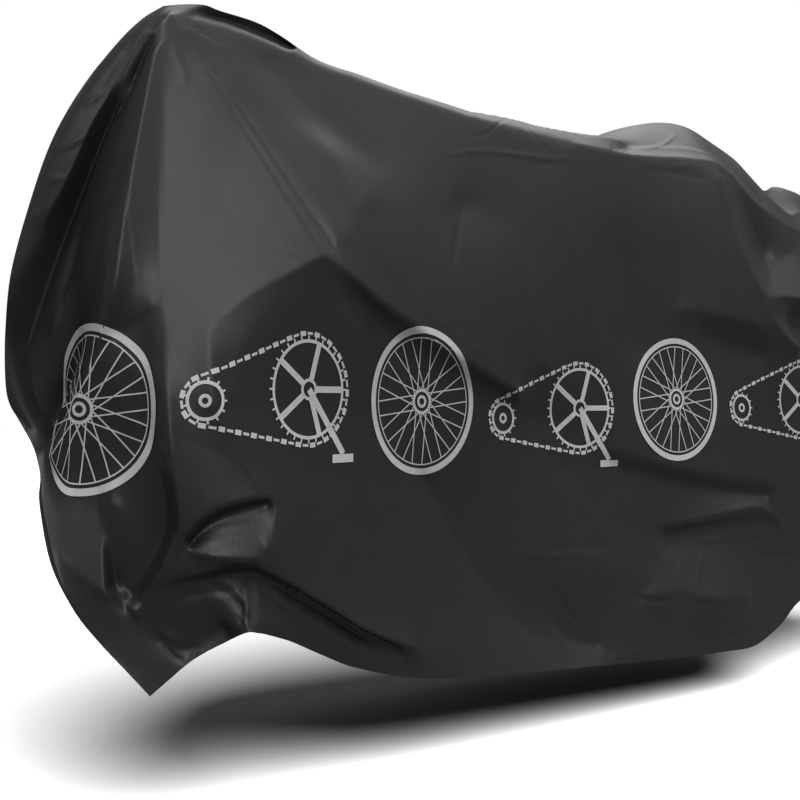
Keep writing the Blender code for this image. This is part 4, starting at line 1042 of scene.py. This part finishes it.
@dataclass(frozen=True)
class FilmBag:
    """The bag: a near and a far panel of film, welded together up the front, top and rear.

    Attributes:
        quads_up: Quads of the near panel from the hem to the seam.
        quads_along: Quads of the near panel from the front to the rear.
        crowding: How much closer the quads stand at the front, where the folds are sharpest.
        far_step: Near quads for each quad of the far panel, whose folds are wider.
    """

    quads_up: int = 196
    quads_along: int = 496
    crowding: float = 1.35
    far_step: int = 2

    def panel(self, side: float, step: int, hem_rows: Rows, creases: Creases,
              wrinkles: Wrinkles) -> np.ndarray:
        """Shape one panel.

        Args:
            side: 1 for the near panel, -1 for the far one.
            step: Points of the seam for each one that the panel takes.
            hem_rows: The hem between the two ends of the seam.
            creases: The panel's creases.
            wrinkles: Its small wrinkles.

        Returns:
            A grid of points in the frame, from the hem up and from the front to the rear.
        """
        up = np.linspace(0.0, 1.0, self.quads_up + 1)
        along = np.linspace(0.0, 1.0, self.quads_along + 1) ** self.crowding
        turn = np.array((1.0, side, 1.0))
        front = smooth_route(FRONT_SEAM + TOP_SEAM[:1], up)[::step] * turn
        top = smooth_route(TOP_SEAM, along)[::step] * turn
        rear = smooth_route(REAR_SEAM[::-1] + TOP_SEAM[-1:], up)[::step] * turn
        hem = smooth_route((tuple(front[0]),) + hem_rows + (tuple(rear[0]),), along[::step])
        grid = TautPanel(front, top, rear, hem, creases).grid(wrinkles)
        return grid * (1.0, -side, 1.0) - (0.0, 0.0, SADDLE_HEIGHT)

    @staticmethod
    def sheet(name: str, grid: np.ndarray, side: float, film: bpy.types.Material
              ) -> bpy.types.Object:
        """Make one panel's sheet.

        Args:
            name: The piece's name.
            grid: The panel's points.
            side: 1 for the near panel, -1 for the far one.
            film: Its material.

        Returns:
            The sheet.
        """
        rows, columns = grid.shape[:2]
        numbers = np.arange(rows * columns).reshape(rows, columns)
        loops = (numbers[:-1, :-1], numbers[:-1, 1:], numbers[1:, 1:], numbers[1:, :-1])
        faces = np.stack(loops if side > 0.0 else loops[::-1], axis=-1).reshape(-1, 4)
        return add_surface(name, grid.reshape(-1, 3).tolist(), faces.tolist(), film)

    def build(self, finish: CharcoalFilm) -> tuple[bpy.types.Object, bpy.types.Object]:
        """Make both panels.

        Args:
            finish: The film's finish.

        Returns:
            The near and the far panel.
        """
        film = finish.material()
        near = self.panel(1.0, 1, NEAR_HEM, NEAR_CREASES, NEAR_WRINKLES)
        far = self.panel(-1.0, self.far_step, FAR_HEM, FAR_CREASES, FAR_WRINKLES)
        return self.sheet("near_panel", near, 1.0, film), self.sheet("far_panel", far, -1.0, film)


@dataclass(frozen=True)
class SilverInk:
    """Screen-printed silver ink: a dull metal-grey coat laid over the film's folds and wrinkles.

    Attributes:
        colour: The ink's grey.
        worn_colour: The ink where handling has dulled it.
        roughness: Dull satin.
        wear_mm: Size of the dulled patches.
    """

    colour: str = "#F0F1F3"
    worn_colour: str = "#D2D3D6"
    roughness: float = 0.5
    wear_mm: float = 9.0

    def material(self) -> bpy.types.Material:
        """Build the ink's material.

        Returns:
            The material.
        """
        ink, tree, shader = start_material("silver_screen_ink")
        shader.inputs["Roughness"].default_value = self.roughness
        shader.inputs["Metallic"].default_value = 0.0
        place = add_node(tree, "ShaderNodeTexCoord").outputs["Object"]
        wear = add_node(tree, "ShaderNodeTexNoise", {
            "Scale": 1000.0 / self.wear_mm, "Detail": 3.0}, Vector=place)
        tone = add_node(tree, "ShaderNodeMix", {
            ".data_type": "RGBA", MIX_FIRST: srgb_to_linear(self.colour),
            MIX_SECOND: srgb_to_linear(self.worn_colour)})
        tree.links.new(wear.outputs["Fac"], tone.inputs[MIX_SHARE])
        tree.links.new(tone.outputs[MIX_RESULT], shader.inputs["Base Color"])
        return ink


@dataclass(frozen=True)
class Stroke:
    """One inked line of a motif, in metres on the flat film.

    Attributes:
        points: (along, up) points of its middle line.
        width: Its width.
        closed: Whether its end joins its start.
    """

    points: tuple[Place, ...]
    width: float
    closed: bool = False

    def moved(self, along: float, up: float) -> "Stroke":
        """Move the line on the film.

        Args:
            along: How far it moves along the film.
            up: How far it moves up.

        Returns:
            The moved line.
        """
        return Stroke(tuple((x + along, y + up) for x, y in self.points), self.width, self.closed)


def on_circle(middle: Place, radius: float, turn: float) -> Place:
    """Find a place on a circle.

    Args:
        middle: The circle's middle.
        radius: Its radius.
        turn: The way to the place, in radians.

    Returns:
        The place.
    """
    return middle[0] + radius * math.cos(turn), middle[1] + radius * math.sin(turn)


def ring(middle: Place, radius: float, width: float, sides: int = 72) -> Stroke:
    """Draw a round line.

    Args:
        middle: Its middle.
        radius: Its radius.
        width: Its width.
        sides: Straight runs that it is made of.

    Returns:
        The line.
    """
    turns = [2.0 * math.pi * index / sides for index in range(sides)]
    return Stroke(tuple(on_circle(middle, radius, turn) for turn in turns), width, True)


def spokes(middle: Place, inner: float, outer: float, count: int, width: float,
           lean: float = 0.0) -> list[Stroke]:
    """Draw straight lines from a hub outwards.

    Args:
        middle: The hub's middle.
        inner: Radius at which they start.
        outer: Radius at which they end.
        count: How many there are.
        width: Their width.
        lean: How far each leans round the hub, in radians.

    Returns:
        The lines.
    """
    lines = []
    for index in range(count):
        turn = 2.0 * math.pi * index / count
        side = lean if index % 2 else -lean
        lines.append(Stroke((on_circle(middle, inner, turn + side),
                             on_circle(middle, outer, turn)), width))
    return lines


@dataclass(frozen=True)
class SpokedWheel:
    """A wheel with a tyre, a rim, crossed spokes and a hub.

    Attributes:
        middle: Its middle, from the motif's place and the row's baseline.
        tyre_radius: Radius of the tyre's line.
        tyre_width: Width of that line.
        rim_radius: Radius of the rim's line, where the spokes end.
        fine_width: Width of the rim's line and of each spoke.
        spoke_start: Radius at which the spokes start.
        spoke_count: How many there are.
        spoke_lean: How far each leans round the hub, in radians.
        flange_radius: Radius of the hub flange's line.
        axle_radius: Radius of the axle's line.
        hub_width: Width of both.
    """

    middle: Place = (0.0, 0.105)
    tyre_radius: float = 0.100
    tyre_width: float = 0.00924
    rim_radius: float = 0.090
    fine_width: float = 0.0018
    spoke_start: float = 0.018
    spoke_count: int = 28
    spoke_lean: float = 0.5
    flange_radius: float = 0.016
    axle_radius: float = 0.007
    hub_width: float = 0.0042

    def strokes(self) -> list[Stroke]:
        """Draw the wheel.

        Returns:
            Its lines.
        """
        return [ring(self.middle, self.tyre_radius, self.tyre_width),
                ring(self.middle, self.rim_radius, self.fine_width),
                ring(self.middle, self.flange_radius, self.hub_width),
                ring(self.middle, self.axle_radius, self.hub_width),
                *spokes(self.middle, self.spoke_start, self.rim_radius, self.spoke_count,
                        self.fine_width, self.spoke_lean)]


@dataclass(frozen=True)
class ChainDrive:
    """A chainring with its crank and pedal, a sprocket, and the chain about both.

    Attributes:
        crank_axle: Middle of the chainring, from the motif's place and the row's baseline.
        rear_axle: Middle of the sprocket.
        chainring: Radii of the chainring's axle, the ends of its arms, its own line, the ends of
            its teeth, and the chain on it.
        sprocket: Radii of the sprocket's axle, its own line, the ends of its teeth, and the chain
            on it.
        line: Width of the round lines.
        arm_count: Arms of the chainring.
        arm_width: Their width.
        chainring_teeth: Teeth of the chainring.
        sprocket_teeth: Teeth of the sprocket.
        tooth_width: Their width.
        crank: The crank's end, from its axle.
        crank_width: Its width.
        pedal: Both ends of the pedal, from the crank's axle.
        pedal_width: Its width.
        chain_pitch: Length of a link, here that of a real chain.
        link_gap: Share of a link that is left free at each of its ends.
        link_widths: Widths of the inner and the outer links, which take turns.
        wrap_points: Points of the chain's curve about each of the two.
    """

    crank_axle: Place = (0.055, 0.110)
    rear_axle: Place = (-0.110, 0.095)
    chainring: tuple[float, ...] = (0.012, 0.060, 0.062, 0.069, 0.072)
    sprocket: tuple[float, ...] = (0.006, 0.022, 0.028, 0.030)
    line: float = 0.0042
    arm_count: int = 5
    arm_width: float = 0.0084
    chainring_teeth: int = 32
    sprocket_teeth: int = 13
    tooth_width: float = 0.00252
    crank: Place = (0.064, -0.084)
    crank_width: float = 0.00924
    pedal: tuple[Place, Place] = ((0.044, -0.090), (0.084, -0.090))
    pedal_width: float = 0.01092
    chain_pitch: float = 0.0127
    link_gap: float = 0.12
    link_widths: tuple[float, float] = (0.00336, 0.0063)
    wrap_points: int = 40

    def strokes(self) -> list[Stroke]:
        """Draw the chain drive.

        Returns:
            Its lines.
        """
        axle, arm_end, own_line, tooth_end, _ = self.chainring
        small_axle, small_line, small_tooth_end, _ = self.sprocket
        crank = Stroke(((0.0, 0.0), self.crank), self.crank_width)
        pedal = Stroke(self.pedal, self.pedal_width)
        return [ring(self.crank_axle, own_line, self.line),
                ring(self.crank_axle, axle, self.line),
                ring(self.rear_axle, small_line, self.line),
                ring(self.rear_axle, small_axle, self.line),
                *spokes(self.crank_axle, axle, arm_end, self.arm_count, self.arm_width),
                *spokes(self.crank_axle, own_line, tooth_end, self.chainring_teeth,
                        self.tooth_width),
                *spokes(self.rear_axle, small_line, small_tooth_end, self.sprocket_teeth,
                        self.tooth_width),
                crank.moved(*self.crank_axle), pedal.moved(*self.crank_axle), *self.links()]

    def links(self) -> list[Stroke]:
        """Draw the chain.

        Returns:
            Its links.
        """
        big_radius, small_radius = self.chainring[-1], self.sprocket[-1]
        gap = math.dist(self.crank_axle, self.rear_axle)
        tilt = math.atan2(self.rear_axle[1] - self.crank_axle[1],
                          self.rear_axle[0] - self.crank_axle[0])
        wrap = math.acos((big_radius - small_radius) / gap)
        path = []
        for middle, radius, start, end in (
                (self.crank_axle, big_radius, tilt + wrap, tilt + 2.0 * math.pi - wrap),
                (self.rear_axle, small_radius, tilt - wrap, tilt + wrap)):
            path += [on_circle(middle, radius, turn)
                     for turn in np.linspace(start, end, self.wrap_points)]
        path = np.array(path + path[:1])
        lengths = lengths_along(path)
        count = 2 * round(lengths[-1] / self.chain_pitch / 2.0)
        stops = np.linspace(0.0, lengths[-1], count + 1)
        joints = np.stack([np.interp(stops, lengths, path[:, axis]) for axis in range(2)], axis=1)
        drawn = []
        for index, (start, end) in enumerate(zip(joints[:-1], joints[1:])):
            inset = self.link_gap * (end - start)
            drawn.append(Stroke((tuple(start + inset), tuple(end - inset)),
                                self.link_widths[index % 2]))
        return drawn


class Motif(Enum):
    """The motifs of the print row."""

    WHEEL = SpokedWheel()
    CHAIN = ChainDrive()


@dataclass(frozen=True)
class PrintRow:
    """A silver row of generic cycling motifs: spoked wheels, and chain drives between them.

    Attributes:
        baseline: Height of the row's lowest line above the ground.
        guide_rise: Height above it of the line along which lengths on the film are measured.
        proud: How far the ink stands off the film.
        step: Longest run of ink between two points, and its widest band.
        first_place: Where the row's length starts, across the layout plane.
        last_place: Where the film ends there.
        row: Motif, its place along the film, and its rise above the baseline.
    """

    baseline: float = 0.39
    guide_rise: float = 0.1
    proud: float = 0.001
    step: float = 0.004
    first_place: float = -0.99
    last_place: float = 0.59
    row: tuple[tuple[Motif, float, float], ...] = (
        (Motif.WHEEL, 0.16, 0.000), (Motif.CHAIN, 0.44, 0.020), (Motif.WHEEL, 0.72, 0.010),
        (Motif.CHAIN, 1.00, -0.005), (Motif.WHEEL, 1.28, 0.015), (Motif.CHAIN, 1.56, 0.010),
        (Motif.WHEEL, 1.84, 0.000))

    def ribbon(self, stroke: Stroke) -> tuple[np.ndarray, list]:
        """Widen a line to a flat ribbon.

        Args:
            stroke: The line.

        Returns:
            The ribbon's corners on the flat film, and its quads.
        """
        points = np.array(stroke.points + (stroke.points[:1] if stroke.closed else ()))
        fine = [points[0]]
        for start, end in zip(points[:-1], points[1:]):
            count = max(1, math.ceil(np.linalg.norm(end - start) / self.step))
            fine += [start + (end - start) * share for share in np.linspace(0, 1, count + 1)[1:]]
        fine = np.array(fine)
        ways = np.gradient(fine, axis=0)
        if stroke.closed:
            ways[0] = ways[-1] = fine[1] - fine[-2]
        ways /= np.linalg.norm(ways, axis=1)[:, None]
        sides = np.stack((-ways[:, 1], ways[:, 0]), axis=1) * stroke.width / 2.0
        bands = math.ceil(stroke.width / self.step)
        corners = np.concatenate([fine + sides * shift
                                  for shift in np.linspace(-1.0, 1.0, bands + 1)])
        count = len(fine)
        quads = [(index, index + 1, count + index + 1, count + index)
                 for band in range(bands)
                 for index in range(band * count, band * count + count - 1)]
        return corners, quads

    @staticmethod
    def touch(film: BVHTree, place: float, height: float) -> tuple[Vector, Vector]:
        """Find the film's point at a place across the layout plane.

        Args:
            film: The film's faces.
            place: The place across the plane.
            height: The height above the ground.

        Returns:
            The point, and the film's direction there on the outer side.
        """
        inward = Vector((math.sin(VIEW_TURN), math.cos(VIEW_TURN), 0.0))
        across = Vector((math.cos(VIEW_TURN), -math.sin(VIEW_TURN), 0.0))
        start = across * place - inward + Vector((0.0, 0.0, height - SADDLE_HEIGHT))
        point, normal, _, _ = film.ray_cast(start, inward)
        if point is None:
            raise ValueError("ink beside the film")
        return point, -normal if normal.dot(inward) > 0.0 else normal

    def places_along(self, film: BVHTree, lengths: np.ndarray) -> np.ndarray:
        """Turn lengths along the film into places across the layout plane.

        Args:
            film: The film's faces.
            lengths: Lengths from the film's front edge.

        Returns:
            One place for each length.
        """
        places = np.arange(self.first_place, self.last_place, self.step)
        height = self.baseline + self.guide_rise
        guide = np.array([self.touch(film, place, height)[0] for place in places])
        return np.interp(lengths, lengths_along(guide), places)

    def build(self, panel: bpy.types.Object, finish: SilverInk) -> bpy.types.Object:
        """Lay the row's ink on the film.

        Args:
            panel: The panel that the ink lies on.
            finish: The ink's finish.

        Returns:
            The ink.
        """
        corners, quads = [], []
        for motif, along, rise in self.row:
            for stroke in motif.value.strokes():
                new_corners, new_quads = self.ribbon(stroke.moved(along, rise + self.baseline))
                start = len(corners)
                corners += list(new_corners)
                quads += [tuple(start + corner for corner in quad) for quad in new_quads]
        film = BVHTree.FromObject(panel, bpy.context.evaluated_depsgraph_get())
        places = self.places_along(film, np.array(corners)[:, 0])
        laid = []
        for place, (_, height) in zip(places, corners):
            point, normal = self.touch(film, place, height)
            laid.append(point + normal * self.proud)
        return add_surface("print_row", laid, quads, finish.material())


@dataclass(frozen=True)
class MattFloorPaint:
    """Rolled emulsion paint without any shine: under its own strong light the floor looks white.

    Attributes:
        colour: Mid grey, so that the soft shadow under the bag still looks dark.
    """

    colour: str = "#909090"

    def material(self) -> bpy.types.Material:
        """Build the paint's material.

        Returns:
            The material.
        """
        paint, _, shader = start_material("matt_floor_paint")
        shader.inputs["Base Color"].default_value = srgb_to_linear(self.colour)
        shader.inputs["Specular IOR Level"].default_value = 0.0
        return paint


@dataclass(frozen=True)
class SoftSun:
    """A far, soft light.

    Attributes:
        name: Its name.
        azimuth: The way to it, in degrees from +X towards +Y.
        elevation: Its height in degrees.
        spread: Its angle across in degrees.
        strength: Its strength.
        floor_only: Whether it lights the floor alone; the other lights leave the floor out.
    """

    name: str
    azimuth: float
    elevation: float
    spread: float
    strength: float
    floor_only: bool = False

    def shine(self, lit: bpy.types.Collection) -> None:
        """Put the light into the scene.

        Args:
            lit: What it falls on.
        """
        lamp = bpy.data.lights.new(self.name, "SUN")
        lamp.angle = math.radians(self.spread)
        lamp.energy = self.strength
        azimuth, elevation = math.radians(self.azimuth), math.radians(self.elevation)
        way = Vector((math.cos(azimuth) * math.cos(elevation),
                      math.sin(azimuth) * math.cos(elevation), math.sin(elevation)))
        holder = add_object(self.name, lamp)
        holder.rotation_euler = (-way).to_track_quat("-Z", "Y").to_euler()
        holder.light_linking.receiver_collection = lit


@dataclass(frozen=True)
class Studio:
    """A plain white studio: a floor, soft lights, a white surround and the camera.

    Attributes:
        suns: The lights.
        ambient: Strength of the dim light from all round.
        floor_reach: How far the floor reaches each way.
        camera_place: The camera, from the saddle and the ground.
        camera_turn: Its turn from looking along +Y, in degrees towards +X.
        sensor_mm: Width of the camera's sensor.
        focal_mm: Its focal length.
        rise: How far the frame is shifted up, as a share of its width.
        nearest: How near to the camera a thing may be and still be seen.
    """

    suns: tuple[SoftSun, ...] = (
        SoftSun("overhead_key", -60.0, 84.0, 30.0, 1.1),
        SoftSun("front_light", -90.0, 40.0, 30.0, 0.75),
        SoftSun("front_left_fill", -155.0, 50.0, 30.0, 0.33),
        SoftSun("front_right_fill", -30.0, 40.0, 30.0, 0.14),
        SoftSun("rim_light", 36.0, 52.0, 40.0, 0.8),
        SoftSun("floor_light", -107.0, 50.0, 50.0, 24.0, True))
    ambient: float = 0.2
    floor_reach: float = 20.0
    camera_place: Row = (-1.728, -1.499, 0.5)
    camera_turn: float = 36.0
    sensor_mm: float = 36.0
    focal_mm: float = 54.0
    rise: float = 5.0 / 800.0
    nearest: float = 0.01

    def floor(self, finish: MattFloorPaint) -> bpy.types.Object:
        """Make the floor that the shadow falls on.

        Args:
            finish: Its paint.

        Returns:
            The floor.
        """
        reach = self.floor_reach
        floor = add_surface("studio_floor", [
            (-reach, -reach, 0.0), (reach, -reach, 0.0), (reach, reach, 0.0),
            (-reach, reach, 0.0)], [(0, 1, 2, 3)], finish.material())
        floor.location.z = -SADDLE_HEIGHT
        floor.visible_diffuse = False
        floor.visible_glossy = False
        return floor

    def light(self, floor: bpy.types.Object) -> None:
        """Add the lights.

        Args:
            floor: What the floor's own light falls on.
        """
        lit_floor = bpy.data.collections.new("lit_floor")
        lit_floor.objects.link(floor)
        unlit_floor = bpy.data.collections.new("unlit_floor")
        unlit_floor.objects.link(floor)
        unlit_floor.collection_objects[0].light_linking.link_state = "EXCLUDE"
        for sun in self.suns:
            sun.shine(lit_floor if sun.floor_only else unlit_floor)

    def backdrop(self) -> None:
        """Add a white surround that gives only a dim light."""
        world = bpy.data.worlds.new("white_surround")
        bpy.context.scene.world = world
        world.use_nodes = True
        tree = world.node_tree
        sky = tree.nodes["Background"]
        sky.inputs["Color"].default_value = srgb_to_linear("#FFFFFF")
        seen = add_node(tree, "ShaderNodeLightPath").outputs["Is Camera Ray"]
        strength = add_node(tree, "ShaderNodeMapRange", {"To Min": self.ambient, "To Max": 1.0},
                            Value=seen)
        tree.links.new(strength.outputs["Result"], sky.inputs["Strength"])

    def camera(self) -> None:
        """Add the camera and make it the scene's."""
        lens = bpy.data.cameras.new("camera")
        lens.sensor_width = self.sensor_mm
        lens.lens = self.focal_mm
        lens.shift_y = self.rise
        lens.clip_start = self.nearest
        holder = add_object("camera", lens)
        x, y, z = self.camera_place
        holder.location = (x, y, z - SADDLE_HEIGHT)
        holder.rotation_euler = (math.radians(90.0), 0.0, -math.radians(self.camera_turn))
        bpy.context.scene.camera = holder

    def build(self) -> None:
        """Set up the whole studio."""
        self.camera()
        self.light(self.floor(MattFloorPaint()))
        self.backdrop()
        bpy.context.scene.view_settings.view_transform = "Standard"


def main() -> None:
    """Build the studio, the bag and its print."""
    logging.basicConfig(level=logging.INFO, format="%(message)s")
    report = logging.getLogger("bicycle_cover")
    Studio().build()
    near_panel, far_panel = FilmBag().build(CharcoalFilm())
    for panel in (near_panel, far_panel):
        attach(panel, "root")
        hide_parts("cover")
        report.info("%s: %d faces", panel.name, len(panel.data.polygons))
    ink = PrintRow().build(near_panel, SilverInk())
    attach(ink, "root")
    report.info("%s: %d faces", ink.name, len(ink.data.polygons))


if __name__ == "__main__":
    main()
